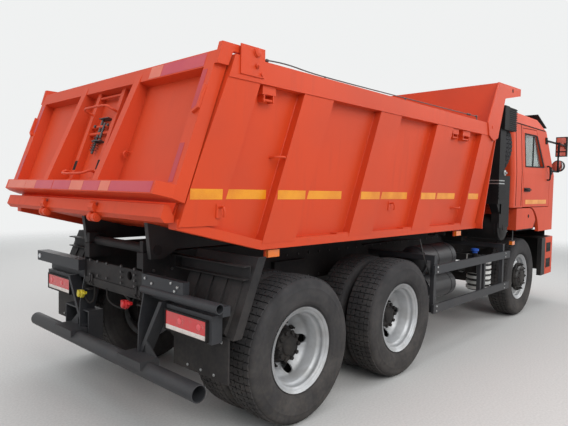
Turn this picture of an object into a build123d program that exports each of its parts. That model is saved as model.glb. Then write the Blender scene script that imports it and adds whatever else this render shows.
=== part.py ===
from build123d import *
import math
import os

os.makedirs("parts", exist_ok=True)

# Three-axle rear tipper with a steel bed, millimetres.
# +X points forward, +Y to the left, +Z up. The origin is on the ground, on the centreline,
# midway between the tailgate's lower beam and the bumper's face.

# Overall layout
OVERALL_LENGTH = 7020.0
REAR_OVERHANG = 1140.0          # rearmost axle to the tailgate's lower beam
TANDEM_SPACING = 1320.0         # rearmost axle to middle axle
WHEELBASE = 3190.0              # middle axle to front axle
REAR_AXLE_X = REAR_OVERHANG - OVERALL_LENGTH / 2
MID_AXLE_X = REAR_AXLE_X + TANDEM_SPACING
FRONT_AXLE_X = MID_AXLE_X + WHEELBASE
FRONT_X = OVERALL_LENGTH / 2
SIDES = (("left", 1), ("right", -1))


def ahead(distance):
    """Station along the vehicle, measured forward from the rearmost axle."""
    return REAR_AXLE_X + distance


# Wheels
HUB_Z = 515.0
TYRE_R = 515.0
TREAD_HALF = 108.0
TYRE_HALF = 140.0
BEAD_R = 278.5                  # tyre's inner edge
BEAD_SEAT = 278.0               # rim's seat under it
RIM_HALF = 114.0
FLANGE_R = 299.0
FRONT_WHEEL_Y = 1013.0          # tyre centre plane, from the centreline
TWIN_OUTER_Y = 1085.0
TWIN_INNER_Y = 765.0
KINGPIN_Y = 850.0
STUB_R = 45.0

# Frame and subframe
RAIL_OUTER_Y = 430.0
RAIL_TOP = 1070.0
RAIL_HEIGHT = 270.0
RAIL_FLANGE = 80.0
RAIL_WEB = 10.0
FRAME_REAR = ahead(-780.0)
FRAME_FRONT = ahead(5600.0)
SUBFRAME_TOP = 1190.0
HOIST_X = ahead(3560.0)
HOIST_FOOT_Z = 1180.0
HOIST_EYE_Z = 2400.0
BED_PIVOT_X = ahead(-700.0)
BED_PIVOT_Z = 1190.0
PIVOT_PIN_R = 35.0
PIN_GAP = 0.1
SPARE_X = ahead(3740.0)
SPARE_Y = -690.0
SPARE_Z = 2200.0

# Bed
FLOOR_TOP = 1300.0
FLOOR_PLATE = 12.0
KNEE_X = ahead(-380.0)
FLOOR_REAR_X = ahead(-1040.0)
FLOOR_RISE = 13.6               # degrees, the floor's rear part
BED_FRONT_X = ahead(2930.0)
FLOOR_HALF = 1085.0
SKIN = 10.0
SKIN_TOP_HALF = 1160.0
RAIL_BOTTOM = 2260.0
RAIL_UPPER = 2395.0
RAIL_FACE = 1238.0
BODY_HALF = 1250.0
BEAM_INNER_Y = 438.0
BEAM_OUTER_Y = 480.0
HEAD_TOP_X = ahead(3225.0)
RIB_DEPTH = 80.0
LEAN = math.tan(math.radians(17.5))
LEDGE_TOP = 1296.0
LEDGE_BOTTOM = 1236.0
CANOPY_Z = 2870.0
CANOPY_FRONT = ahead(3920.0)

# Tailgate, drawn on its own leaning plane
GATE_LOW = (ahead(-1113.0), 1460.0)
GATE_LEAN = math.radians(19.6)
GATE_DEPTH = 85.0
GATE_HALF = 1195.0
GATE_GAP = 7.0
GATE_FOOT = 112.0
GATE_HEAD = 1008.0
GATE_PIVOT_X = ahead(-520.0)
GATE_PIVOT_Z = 2432.0

# Cab
CAB_REAR = ahead(3940.0)
CAB_FLOOR = 1450.0
CAB_WALL = 45.0
CAB_HALF = 1200.0
DOOR_REAR = ahead(4300.0)
DOOR_FRONT = ahead(5376.0)
DOOR_LOW = 1456.0
GAP = 9.0
CAB_PIVOT_X = ahead(5700.0)
CAB_PIVOT_Z = 850.0
CAB_PIN_R = 22.0


def finish(piece, name):
    """Label a finished piece and write it under the node's name."""
    piece.part.label = name
    export_step(piece.part, f"parts/{name}.step")


def box_between(low, high, mode=Mode.ADD):
    """A block between two opposite corners, inside the open part."""
    size = [b - a for a, b in zip(low, high)]
    middle = [(a + b) / 2 for a, b in zip(low, high)]
    with Locations(tuple(middle)):
        Box(*size, mode=mode)


def cross_tube(x, z, y_low, y_high, radius, mode=Mode.ADD):
    """A round bar along Y."""
    with Locations(Location((x, (y_low + y_high) / 2, z), (90, 0, 0))):
        Cylinder(radius, y_high - y_low, mode=mode)


def long_tube(x_low, x_high, y, z, radius, mode=Mode.ADD):
    """A round bar along X."""
    with Locations(Location(((x_low + x_high) / 2, y, z), (0, 90, 0))):
        Cylinder(radius, x_high - x_low, mode=mode)


def polygon(*points, mode=Mode.ADD):
    """A straight-sided face inside the open sketch."""
    with BuildLine() as outline:
        Polyline(*points, close=True)
    make_face(outline.edges(), mode=mode)


# Tyres and rims
def tyre_profile():
    """Half section of a truck tyre: across is X, radius is Y."""
    shoulder = (TREAD_HALF, TYRE_R - 6)
    bulge = (TYRE_HALF, 415.0)
    bead = (RIM_HALF - 8.5, FLANGE_R + 3)
    with BuildLine() as outline:
        Line((-bead[0], BEAD_R), (bead[0], BEAD_R))
        Line((bead[0], BEAD_R), bead)
        ThreePointArc(bead, (TYRE_HALF - 8, 350.0), bulge)
        ThreePointArc(bulge, (TYRE_HALF - 3, 475.0), shoulder)
        ThreePointArc(shoulder, (0, TYRE_R), (-shoulder[0], shoulder[1]))
        ThreePointArc((-shoulder[0], shoulder[1]), (-TYRE_HALF + 3, 475.0), (-bulge[0], bulge[1]))
        ThreePointArc((-bulge[0], bulge[1]), (-TYRE_HALF + 8, 350.0), (-bead[0], bead[1]))
        Line((-bead[0], bead[1]), (-bead[0], BEAD_R))
    make_face(outline.edges())


def rim_profile(disc, bore):
    """Half section of a disc wheel: flanges, drop centre and a disc at the given offset."""
    outline = [
        (-RIM_HALF, FLANGE_R), (-RIM_HALF, 262), (-70, 258), (-50, 236), (40, 236), (60, 258),
        (RIM_HALF, 262), (RIM_HALF, FLANGE_R), (RIM_HALF - 8, FLANGE_R), (RIM_HALF - 8, BEAD_SEAT),
        (RIM_HALF - 34, BEAD_SEAT), (54, 268), (36, 250), (-46, 250), (-64, 268),
        (-RIM_HALF + 34, BEAD_SEAT), (-RIM_HALF + 8, BEAD_SEAT),
        (-RIM_HALF + 8, FLANGE_R),
    ]
    polygon(*outline)
    reach = 40 if disc > 0 else -40
    polygon((disc - 7, bore), (disc + 7, bore), (disc + 7, 160), (reach + 7, 240),
            (reach - 7, 240), (disc - 7, 160))


def wheel_solid(x, y, z, profile, outward):
    """Turn a section drawn across X and radius Y about an axle along Y."""
    plane = Plane(origin=(x, y, z), x_dir=(0, outward, 0), z_dir=(1, 0, 0) if outward > 0 else (-1, 0, 0))
    with BuildSketch(plane) as section:
        profile()
    revolve(section.sketch, axis=Axis((x, y, z), (0, 1, 0)))


HAND_HOLES = 5
HAND_HOLE_R = 36.0
HAND_HOLE_CIRCLE = 195.0


def hand_holes(x, y, z, depth):
    """The round openings in a wheel's disc."""
    for step in range(HAND_HOLES):
        angle = 2 * math.pi * step / HAND_HOLES
        centre = (x + HAND_HOLE_CIRCLE * math.cos(angle), y, z + HAND_HOLE_CIRCLE * math.sin(angle))
        with Locations(Location(centre, (90, 0, 0))):
            Cylinder(HAND_HOLE_R, depth, mode=Mode.SUBTRACT)


# Wheel stations: name, axle x, offsets of the tyre centres, offset of each rim's disc outward
WHEELS = (
    ("front", FRONT_AXLE_X, (FRONT_WHEEL_Y,), (85,)),
    ("middle", MID_AXLE_X, (TWIN_INNER_Y, TWIN_OUTER_Y), (130, -130)),
    ("rear", REAR_AXLE_X, (TWIN_INNER_Y, TWIN_OUTER_Y), (130, -130)),
)
HUB_R = 140.0
for station, axle_x, offsets, discs in WHEELS:
    for side, sign in SIDES:
        with BuildPart() as tyres:
            for track in offsets:
                wheel_solid(axle_x, sign * track, HUB_Z, tyre_profile, sign)
        finish(tyres, f"tyre_{station}_{side}" if len(offsets) == 1 else f"tyres_{station}_{side}")

        with BuildPart() as rims:
            for track, disc in zip(offsets, discs):
                wheel_solid(axle_x, sign * track, HUB_Z, lambda: rim_profile(disc, HUB_R - 10), sign)
                hand_holes(axle_x, sign * track, HUB_Z, 300)
            if station == "front":
                hub_in, hub_out = FRONT_WHEEL_Y - 60, FRONT_WHEEL_Y + 135
            else:
                hub_in, hub_out = TWIN_INNER_Y + 30, TWIN_OUTER_Y + 40
            ends = sorted((sign * hub_in, sign * hub_out))
            cross_tube(axle_x, HUB_Z, ends[0], ends[1], HUB_R)
            inner = sorted((sign * (hub_in - 1), sign * (hub_in + 120)))
            cross_tube(axle_x, HUB_Z, inner[0], inner[1], STUB_R + 20, mode=Mode.SUBTRACT)
        finish(rims, f"rim_{station}_{side}" if len(offsets) == 1 else f"rims_{station}_{side}")

# Steering knuckles on the front axle's kingpins
KINGPIN_R = 25.0
FIST_HEIGHT = 250.0
EYE_HALF = 60.0
for side, sign in SIDES:
    with BuildPart() as knuckle:
        with Locations((FRONT_AXLE_X, sign * KINGPIN_Y, HUB_Z)):
            Cylinder(KINGPIN_R, FIST_HEIGHT)
        for level in (-1, 1):
            with Locations((FRONT_AXLE_X, sign * KINGPIN_Y, HUB_Z + level * (EYE_HALF + 33))):
                Cylinder(50, 50)
            web = sorted((sign * (KINGPIN_Y + 20), sign * (KINGPIN_Y + 90)))
            height = HUB_Z + level * (EYE_HALF + 33)
            box_between((FRONT_AXLE_X - 40, web[0], height - 25), (FRONT_AXLE_X + 40, web[1], height + 25))
        plate = sorted((sign * (KINGPIN_Y + 67), sign * (KINGPIN_Y + 95)))
        box_between((FRONT_AXLE_X - 60, plate[0], HUB_Z - 118), (FRONT_AXLE_X + 60, plate[1], HUB_Z + 118))
        stub = sorted((sign * (KINGPIN_Y + 90), sign * (FRONT_WHEEL_Y + 55)))
        cross_tube(FRONT_AXLE_X, HUB_Z, stub[0], stub[1], STUB_R)
        arm = sorted((sign * (KINGPIN_Y - 20), sign * (KINGPIN_Y + 20)))
        box_between((FRONT_AXLE_X - 190, arm[0], HUB_Z - 118), (FRONT_AXLE_X, arm[1], HUB_Z - 88))
    finish(knuckle, f"knuckle_{side}")

# Front axle: dropped beam between the kingpin eyes, with its leaf springs on pads
SPRING_Y = 430.0
BEAM_DROP = 95.0
with BuildPart() as front_axle:
    with BuildSketch(Plane.YZ.offset(FRONT_AXLE_X - 45)):
        polygon((-KINGPIN_Y - 45, HUB_Z + EYE_HALF), (-KINGPIN_Y + 60, HUB_Z + EYE_HALF),
                (-620, HUB_Z - BEAM_DROP + 55), (620, HUB_Z - BEAM_DROP + 55),
                (KINGPIN_Y - 60, HUB_Z + EYE_HALF), (KINGPIN_Y + 45, HUB_Z + EYE_HALF),
                (KINGPIN_Y + 45, HUB_Z - EYE_HALF), (KINGPIN_Y - 80, HUB_Z - EYE_HALF),
                (600, HUB_Z - BEAM_DROP - 55), (-600, HUB_Z - BEAM_DROP - 55),
                (-KINGPIN_Y + 80, HUB_Z - EYE_HALF), (-KINGPIN_Y - 45, HUB_Z - EYE_HALF))
    extrude(amount=90)
    for sign in (-1, 1):
        with Locations((FRONT_AXLE_X, sign * KINGPIN_Y, HUB_Z)):
            Cylinder(KINGPIN_R + PIN_GAP, 2 * EYE_HALF + 20, mode=Mode.SUBTRACT)
finish(front_axle, "front_axle")

# Front leaf springs: leaves, each shorter than the one above, hung from the rails
SPRING_HALF_WIDTH = 45.0
FRONT_LEAVES = ((820, 600), (640, 575), (450, 550), (260, 525))   # half length, bottom height
LEAF = 25.0
with BuildPart() as front_springs:
    for sign in (-1, 1):
        y = sign * SPRING_Y
        for half, z in FRONT_LEAVES:
            box_between((FRONT_AXLE_X - half, y - SPRING_HALF_WIDTH, z),
                        (FRONT_AXLE_X + half, y + SPRING_HALF_WIDTH, z + LEAF))
        box_between((FRONT_AXLE_X - 90, y - SPRING_HALF_WIDTH, HUB_Z - BEAM_DROP + 55),
                    (FRONT_AXLE_X + 90, y + SPRING_HALF_WIDTH, 530))
        for end in (-1, 1):
            box_between((FRONT_AXLE_X + end * 790 - 40, y - SPRING_HALF_WIDTH, 600),
                        (FRONT_AXLE_X + end * 790 + 40, y + SPRING_HALF_WIDTH, RAIL_TOP - RAIL_HEIGHT))
finish(front_springs, "front_springs")

# Drive axles: banjo housings with their drums, and the shafts between them
AXLE_TUBE_R = 75.0
BANJO_R = 210.0
DRUM_R = 200.0
with BuildPart() as drive_axles:
    for x in (REAR_AXLE_X, MID_AXLE_X):
        cross_tube(x, HUB_Z, -TWIN_INNER_Y - 90, TWIN_INNER_Y + 90, STUB_R + 10)
        cross_tube(x, HUB_Z, -630, 630, AXLE_TUBE_R)
        cross_tube(x, HUB_Z, -130, 130, BANJO_R)
        long_tube(x, x + 330, 0, HUB_Z + 20, 95)
        for sign in (-1, 1):
            drum = sorted((sign * 610, sign * 770))
            cross_tube(x, HUB_Z, drum[0], drum[1], DRUM_R)
    long_tube(REAR_AXLE_X + 320, MID_AXLE_X - 200, 0, HUB_Z + 20, 45)
    long_tube(MID_AXLE_X + 320, ahead(3300), 0, HUB_Z + 20, 45)
finish(drive_axles, "drive_axles")

# Bogie suspension: rocking leaf packs on a central trunnion
BOGIE_X = (REAR_AXLE_X + MID_AXLE_X) / 2
BOGIE_Y = 530.0
BOGIE_LEAVES = ((720, 595), (600, 620), (480, 645), (360, 670), (240, 695))
with BuildPart() as bogie_springs:
    for sign in (-1, 1):
        y = sign * BOGIE_Y
        stub = sorted((sign * RAIL_OUTER_Y, sign * (BOGIE_Y + 60)))
        cross_tube(BOGIE_X, 560, stub[0], stub[1], 60)
        for half, z in BOGIE_LEAVES:
            box_between((BOGIE_X - half, y - SPRING_HALF_WIDTH, z),
                        (BOGIE_X + half, y + SPRING_HALF_WIDTH, z + LEAF))
        box_between((BOGIE_X - 110, y - 55, 500), (BOGIE_X + 110, y + 55, 740))
        bracket = sorted((sign * RAIL_OUTER_Y, sign * (RAIL_OUTER_Y + 40)))
        box_between((BOGIE_X - 200, bracket[0], 540), (BOGIE_X + 200, bracket[1], 1000))
finish(bogie_springs, "bogie_springs")

# Ladder frame: two channels and their crossmembers
TOW_HOLE = (-240.0, 990.0)               # across and height, in the rear crossmember
TOW_HOLE_R = 32.0
CROSSMEMBERS = (-770, -200, 660, 1900, 2900, 5500)     # stations ahead of the rearmost axle
with BuildPart() as frame:
    for sign in (-1, 1):
        with BuildSketch(Plane.YZ.offset(FRAME_REAR)):
            with BuildLine():
                y0, y1 = sign * RAIL_OUTER_Y, sign * (RAIL_OUTER_Y - RAIL_FLANGE)
                yw = sign * (RAIL_OUTER_Y - RAIL_WEB)
                low, high = RAIL_TOP - RAIL_HEIGHT, RAIL_TOP
                Polyline((y0, low), (y1, low), (y1, low + RAIL_WEB), (yw, low + RAIL_WEB),
                         (yw, high - RAIL_WEB), (y1, high - RAIL_WEB), (y1, high), (y0, high), close=True)
            make_face()
        extrude(amount=FRAME_FRONT - FRAME_REAR)
    for station in CROSSMEMBERS:
        box_between((ahead(station), -RAIL_OUTER_Y + RAIL_WEB, RAIL_TOP - RAIL_HEIGHT + 40),
                    (ahead(station) + 14, RAIL_OUTER_Y - RAIL_WEB, RAIL_TOP - 30))
    long_tube(FRAME_REAR - 5, FRAME_REAR + 40, TOW_HOLE[0], TOW_HOLE[1], TOW_HOLE_R, mode=Mode.SUBTRACT)
    for sign in (-1, 1):
        lug = sorted((sign * (RAIL_OUTER_Y - 30), sign * RAIL_OUTER_Y))
        box_between((FRAME_FRONT - 10, lug[0], CAB_PIVOT_Z - 45),
                    (CAB_PIVOT_X + 40, lug[1], CAB_PIVOT_Z + 45))
    cross_tube(CAB_PIVOT_X, CAB_PIVOT_Z, -RAIL_OUTER_Y - 45, RAIL_OUTER_Y + 45, CAB_PIN_R)
finish(frame, "frame")

# Subframe on the ladder frame: two box rails, the bed's rear pivots and the hoist's cradle
with BuildPart() as subframe:
    for sign in (-1, 1):
        y = sorted((sign * (RAIL_OUTER_Y - RAIL_FLANGE), sign * RAIL_OUTER_Y))
        box_between((FRAME_REAR, y[0], RAIL_TOP), (ahead(3250), y[1], SUBFRAME_TOP - 20))
        ear = sorted((sign * (RAIL_OUTER_Y - 60), sign * (RAIL_OUTER_Y - 20)))
        box_between((BED_PIVOT_X - 70, ear[0], RAIL_TOP), (BED_PIVOT_X + 70, ear[1], BED_PIVOT_Z + 60))
        cheek = sorted((sign * 135, sign * 165))
        box_between((HOIST_X - 90, cheek[0], RAIL_TOP), (HOIST_X + 90, cheek[1], HOIST_FOOT_Z + 60))
    box_between((HOIST_X - 110, -RAIL_OUTER_Y, RAIL_TOP), (HOIST_X + 110, RAIL_OUTER_Y, RAIL_TOP + 20))
    cross_tube(BED_PIVOT_X, BED_PIVOT_Z, -BEAM_OUTER_Y - 4, BEAM_OUTER_Y + 4, PIVOT_PIN_R)
    cross_tube(HOIST_X, HOIST_FOOT_Z, -165, 165, PIVOT_PIN_R)
    # Carrier of the spare wheel
    carrier = (SPARE_X - 210, SPARE_X - 160)
    box_between((carrier[0], -505, RAIL_TOP), (carrier[1], -RAIL_OUTER_Y + 60, RAIL_TOP + 60))
    box_between((carrier[0], -505, RAIL_TOP), (carrier[1], -455, 2230))
    box_between((carrier[0], -925, 1400), (carrier[1], -875, 2230))
    for z in (1400, 2170):
        box_between((carrier[0], -925, z), (carrier[1], -455, z + 60))
    long_tube(SPARE_X - 165, SPARE_X - 60, SPARE_Y, SPARE_Z, 56)
finish(subframe, "subframe")

# Engine and gearbox as one plain block
with BuildPart() as engine:
    box_between((ahead(4000), -330, 760), (ahead(5350), 330, 1380))
    box_between((ahead(3300), -200, 500), (ahead(4001), 200, 960))
finish(engine, "engine")

# Hoist: a barrel on its foot pin and four stages, each inside the last
HOIST_STAGES = (200, 176, 152, 128)      # outer diameters
BARREL_D = 224.0
BARREL_LENGTH = 1025.0
TUBE_WALL = 6.5
EYE_PIN_R = 25.0
BARREL_LOW = HOIST_FOOT_Z + 50
with BuildPart() as barrel:
    with Locations((HOIST_X, 0, BARREL_LOW + BARREL_LENGTH / 2)):
        Cylinder(BARREL_D / 2, BARREL_LENGTH)
    with Locations((HOIST_X, 0, BARREL_LOW + BARREL_LENGTH / 2 + 15)):
        Cylinder(BARREL_D / 2 - TUBE_WALL, BARREL_LENGTH, mode=Mode.SUBTRACT)
    box_between((HOIST_X - 60, -100, HOIST_FOOT_Z), (HOIST_X + 60, 100, BARREL_LOW + 10))
    cross_tube(HOIST_X, HOIST_FOOT_Z, -100, 100, 60)
    cross_tube(HOIST_X, HOIST_FOOT_Z, -101, 101, PIVOT_PIN_R + PIN_GAP, mode=Mode.SUBTRACT)
finish(barrel, "hoist_barrel")
bottom = BARREL_LOW + 20
for number, diameter in enumerate(HOIST_STAGES, start=1):
    top = BARREL_LOW + BARREL_LENGTH + 8 * number
    with BuildPart() as stage:
        with Locations((HOIST_X, 0, (bottom + top) / 2)):
            Cylinder(diameter / 2, top - bottom)
        if number < len(HOIST_STAGES):
            with Locations((HOIST_X, 0, (bottom + top) / 2 + 10)):
                Cylinder(diameter / 2 - TUBE_WALL, top - bottom, mode=Mode.SUBTRACT)
        else:
            box_between((HOIST_X - 42, -44, top - 10), (HOIST_X + 42, 44, HOIST_EYE_Z))
            cross_tube(HOIST_X, HOIST_EYE_Z, -44, 44, 50)
            cross_tube(HOIST_X, HOIST_EYE_Z, -45, 45, EYE_PIN_R + 6, mode=Mode.SUBTRACT)
    finish(stage, f"hoist_stage_{number}")
    bottom += 16

SILL_CLAW = ((-1040, 1434), (-1096, 1446), (-1128, 1464), (-1136, 1488), (-1128, 1512), (-1106, 1526),
             (-1112, 1508), (-1106, 1498), (-1070, 1500), (-1040, 1500))

# Bed floor: a plate with a rising rear part, on two long beams and cross channels
REAR_RISE = (KNEE_X - FLOOR_REAR_X) * math.tan(math.radians(FLOOR_RISE))
with BuildPart() as bed_floor:
    with BuildSketch(Plane.XZ):
        polygon((FLOOR_REAR_X, FLOOR_TOP + REAR_RISE), (KNEE_X, FLOOR_TOP), (BED_FRONT_X, FLOOR_TOP),
                (BED_FRONT_X, FLOOR_TOP - FLOOR_PLATE), (KNEE_X, FLOOR_TOP - FLOOR_PLATE),
                (FLOOR_REAR_X, FLOOR_TOP - FLOOR_PLATE + REAR_RISE))
    extrude(amount=FLOOR_HALF, both=True)
    for sign in (-1, 1):
        with BuildSketch(Plane.XZ.offset(-max(sign * BEAM_INNER_Y, sign * BEAM_OUTER_Y))):
            polygon((BED_PIVOT_X - 80, FLOOR_TOP + 85), (KNEE_X, FLOOR_TOP - FLOOR_PLATE + 3),
                    (BED_FRONT_X, FLOOR_TOP - FLOOR_PLATE + 3), (BED_FRONT_X, SUBFRAME_TOP),
                    (BED_PIVOT_X + 160, SUBFRAME_TOP), (BED_PIVOT_X + 50, BED_PIVOT_Z - 60),
                    (BED_PIVOT_X - 50, BED_PIVOT_Z - 60))
        extrude(amount=BEAM_OUTER_Y - BEAM_INNER_Y)
    for station in range(-250, 2900, 450):
        box_between((ahead(station), -FLOOR_HALF, LEDGE_BOTTOM),
                    (ahead(station) + 60, FLOOR_HALF, FLOOR_TOP - 5))
    cross_tube(BED_PIVOT_X, BED_PIVOT_Z, -BEAM_OUTER_Y - 1, BEAM_OUTER_Y + 1, PIVOT_PIN_R + PIN_GAP,
               mode=Mode.SUBTRACT)
    # Rear sill under the tailgate
    with BuildSketch(Plane.XZ):
        polygon(GATE_LOW, (ahead(-1088), 1530), (ahead(-1060), 1530), (ahead(-1028), FLOOR_TOP + REAR_RISE),
                (ahead(-1028), 1430), (ahead(-1085), 1430))
    extrude(amount=1143, both=True)
    # Claws that lock the tailgate's foot
    for y in (-415, 345):
        with BuildSketch(Plane.XZ.offset(-y - 62)):
            polygon(*[(ahead(station), z) for station, z in SILL_CLAW])
        extrude(amount=62)
finish(bed_floor, "bed_floor")

# Bed sides: flared skin, leaning ribs, bottom ledge and top rail
# Ribs: name, station of the rear edge at the ledge, width, height of the foot above the ledge's top
RIBS = (
    ("rear post", -1055, 275, 110),
    ("first", -370, 315, -20),
    ("second", 560, 315, -20),
    ("third", 1520, 330, -20),
    ("front post", 2540, 350, -20),
)
SIDE_REAR_X = ahead(-1022.0)
GATE_PIN_R = 16.0
BED_SPAN = 4700.0
BED_START = ahead(-1300.0)


def lean_x(x_low, z):
    """Station at height z of a line that leans forward from the ledge."""
    return x_low + (z - LEDGE_TOP) * LEAN


def gate_line(z):
    """Station of the bed's rear edge at height z, just ahead of the shut tailgate."""
    return (GATE_LOW[0] + (z - GATE_LOW[1]) * math.tan(GATE_LEAN)
            + (GATE_DEPTH + GATE_GAP) / math.cos(GATE_LEAN))


with BuildPart() as side_ribs:
    for sign in (-1, 1):
        with BuildSketch(Plane.YZ.offset(BED_START)):
            polygon((sign * (FLOOR_HALF + 4), LEDGE_BOTTOM + 10),
                    (sign * (SKIN_TOP_HALF + 4), RAIL_BOTTOM + 10),
                    (sign * (RAIL_FACE - 6), RAIL_BOTTOM + 10),
                    (sign * (FLOOR_HALF + RIB_DEPTH), LEDGE_BOTTOM + 10))
        extrude(amount=BED_SPAN)
    with BuildSketch(Plane.XZ):
        for name, rear, width, rise in RIBS:
            foot, base = ahead(rear), LEDGE_TOP + rise
            polygon((lean_x(foot, base), base), (lean_x(foot, RAIL_BOTTOM + 10), RAIL_BOTTOM + 10),
                    (lean_x(foot + width, RAIL_BOTTOM + 10), RAIL_BOTTOM + 10),
                    (lean_x(foot + width, base), base))
    extrude(amount=1400, both=True, mode=Mode.INTERSECT)
    with BuildSketch(Plane.XZ):
        polygon((gate_line(1200), 1200), (gate_line(RAIL_UPPER), RAIL_UPPER), (BED_START - 200, RAIL_UPPER),
                (BED_START - 200, 1200))
    extrude(amount=1400, both=True, mode=Mode.SUBTRACT)

with BuildPart() as bed_sides:
    for sign in (-1, 1):
        with BuildSketch(Plane.YZ.offset(BED_START)):
            polygon((sign * FLOOR_HALF, LEDGE_TOP - 4), (sign * SKIN_TOP_HALF, RAIL_BOTTOM + 10),
                    (sign * (SKIN_TOP_HALF + SKIN), RAIL_BOTTOM + 10),
                    (sign * (FLOOR_HALF + SKIN), LEDGE_BOTTOM), (sign * FLOOR_HALF, LEDGE_BOTTOM))
        extrude(amount=BED_SPAN)
        with BuildSketch(Plane.YZ.offset(BED_START)):
            polygon((sign * (SKIN_TOP_HALF - 10), RAIL_BOTTOM), (sign * RAIL_FACE, RAIL_BOTTOM),
                    (sign * RAIL_FACE, RAIL_UPPER), (sign * (SKIN_TOP_HALF - 10), RAIL_UPPER))
        extrude(amount=BED_SPAN)
        ledge = sorted((sign * FLOOR_HALF, sign * (FLOOR_HALF + RIB_DEPTH)))
        box_between((BED_START, ledge[0], LEDGE_BOTTOM), (BED_START + BED_SPAN, ledge[1], LEDGE_TOP))
        with BuildSketch(Plane.XZ.offset(-ledge[1])):
            polygon((KNEE_X, LEDGE_BOTTOM), (KNEE_X, LEDGE_TOP), (FLOOR_REAR_X, LEDGE_TOP + REAR_RISE),
                    (FLOOR_REAR_X, LEDGE_BOTTOM + REAR_RISE))
        extrude(amount=RIB_DEPTH)
    with BuildSketch(Plane.XZ):
        polygon((KNEE_X, LEDGE_BOTTOM), (BED_FRONT_X, LEDGE_BOTTOM), (BED_FRONT_X, FLOOR_TOP),
                (HEAD_TOP_X, RAIL_BOTTOM), (HEAD_TOP_X, RAIL_UPPER), (gate_line(RAIL_UPPER), RAIL_UPPER),
                (SIDE_REAR_X, 1441), (SIDE_REAR_X, LEDGE_BOTTOM + REAR_RISE - 4))
    extrude(amount=1400, both=True, mode=Mode.INTERSECT)
    add(side_ribs.part)
    # Housings of the tailgate's pins on top of the rails
    for sign in (-1, 1):
        housing = sorted((sign * RAIL_FACE, sign * (BODY_HALF - 4)))
        box_between((gate_line(2462) + 10, housing[0], 2290), (ahead(-455), housing[1], GATE_PIVOT_Z + 30))
        lug = sorted((sign * 1160, sign * 1182))
        box_between((GATE_PIVOT_X - 55, lug[0], RAIL_UPPER), (GATE_PIVOT_X + 55, lug[1], GATE_PIVOT_Z + 30))
        pin = sorted((sign * 1160, sign * BODY_HALF))
        cross_tube(GATE_PIVOT_X, GATE_PIVOT_Z, pin[0], pin[1], GATE_PIN_R)
finish(bed_sides, "bed_sides")

# Headboard with its canopy over the gap behind the cab
HEAD_HALF = 1235.0
with BuildPart() as headboard:
    with BuildSketch(Plane.XZ):
        polygon((BED_FRONT_X, LEDGE_BOTTOM), (BED_FRONT_X, FLOOR_TOP), (HEAD_TOP_X, RAIL_BOTTOM),
                (HEAD_TOP_X, CANOPY_Z), (CANOPY_FRONT, CANOPY_Z + 30), (CANOPY_FRONT, CANOPY_Z + 20),
                (HEAD_TOP_X + 15, CANOPY_Z - 12), (HEAD_TOP_X + 15, RAIL_BOTTOM),
                (BED_FRONT_X + 15, FLOOR_TOP), (BED_FRONT_X + 15, LEDGE_BOTTOM))
    extrude(amount=HEAD_HALF, both=True)
    for z in (1500, 1900, 2200):
        x = BED_FRONT_X + (z + 40 - FLOOR_TOP) * (HEAD_TOP_X - BED_FRONT_X) / (RAIL_BOTTOM - FLOOR_TOP) + 2
        box_between((x, -1100, z - 40), (x + 75, 1100, z + 40))
    for sign in (-1, 1):
        # Plate over the corner, from the rail up to the canopy
        with BuildSketch(Plane.XZ.offset(-max(sign * (HEAD_HALF - 5), sign * BODY_HALF))):
            polygon((HEAD_TOP_X + 1, 2275), (ahead(3250), 2250), (ahead(3430), 2720), (ahead(3920), 2815),
                    (ahead(3920), 2900), (HEAD_TOP_X + 1, 2875))
        extrude(amount=BODY_HALF - HEAD_HALF + 5)
        with BuildSketch(Plane.XZ.offset(-max(sign * RAIL_FACE, sign * BODY_HALF))):
            polygon((ahead(3000), 2265), (ahead(3130), 2210), (ahead(3250), 2250), (ahead(3300), 2400),
                    (ahead(3300), 2860), (ahead(3225), 2875), (ahead(2960), 2400))
        extrude(amount=BODY_HALF - RAIL_FACE)
        lug = sorted((sign * 50, sign * 80))
        box_between((HEAD_TOP_X + 5, lug[0], HOIST_EYE_Z - 62), (HOIST_X + 60, lug[1], HOIST_EYE_Z + 60))
finish(headboard, "bed_headboard")

# Tailgate on its own plane: local X across, local Y up the gate, local Z outward
GATE_PLANE = Plane(origin=(GATE_LOW[0], 0, GATE_LOW[1]), x_dir=(0, -1, 0),
                   z_dir=(-math.cos(GATE_LEAN), 0, math.sin(GATE_LEAN)))
GATE_SKIN = 10.0
GATE_POST = 90.0
GATE_CHANNEL_Y = 345.0                   # nearer face of each middle channel
BEAM_HEIGHT = 76.0
BEAM_PROUD = (GATE_LOW[0] + GATE_FOOT * math.sin(GATE_LEAN) + OVERALL_LENGTH / 2) / math.cos(GATE_LEAN)
BEAM_CUT = 95.0
GATE_CHANNEL_WIDTH = 74.0
LADDER_YS = (150.0, -196.0)              # right-hand face of each plate
LADDER_WIDTH = 46.0
LADDER_OUT = -28.0
SLOT_UP = 335.0
gate_middle = (GATE_FOOT + GATE_HEAD) / 2
gate_height = GATE_HEAD - GATE_FOOT


def gate_side(up, out):
    """Station and height of a point up the gate and out from its outer face."""
    return (GATE_LOW[0] + up * math.sin(GATE_LEAN) - out * math.cos(GATE_LEAN),
            GATE_LOW[1] + up * math.cos(GATE_LEAN) + out * math.sin(GATE_LEAN))


def gate_point(up, out):
    """The same point on the centreline."""
    x, z = gate_side(up, out)
    return (x, 0, z)


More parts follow.
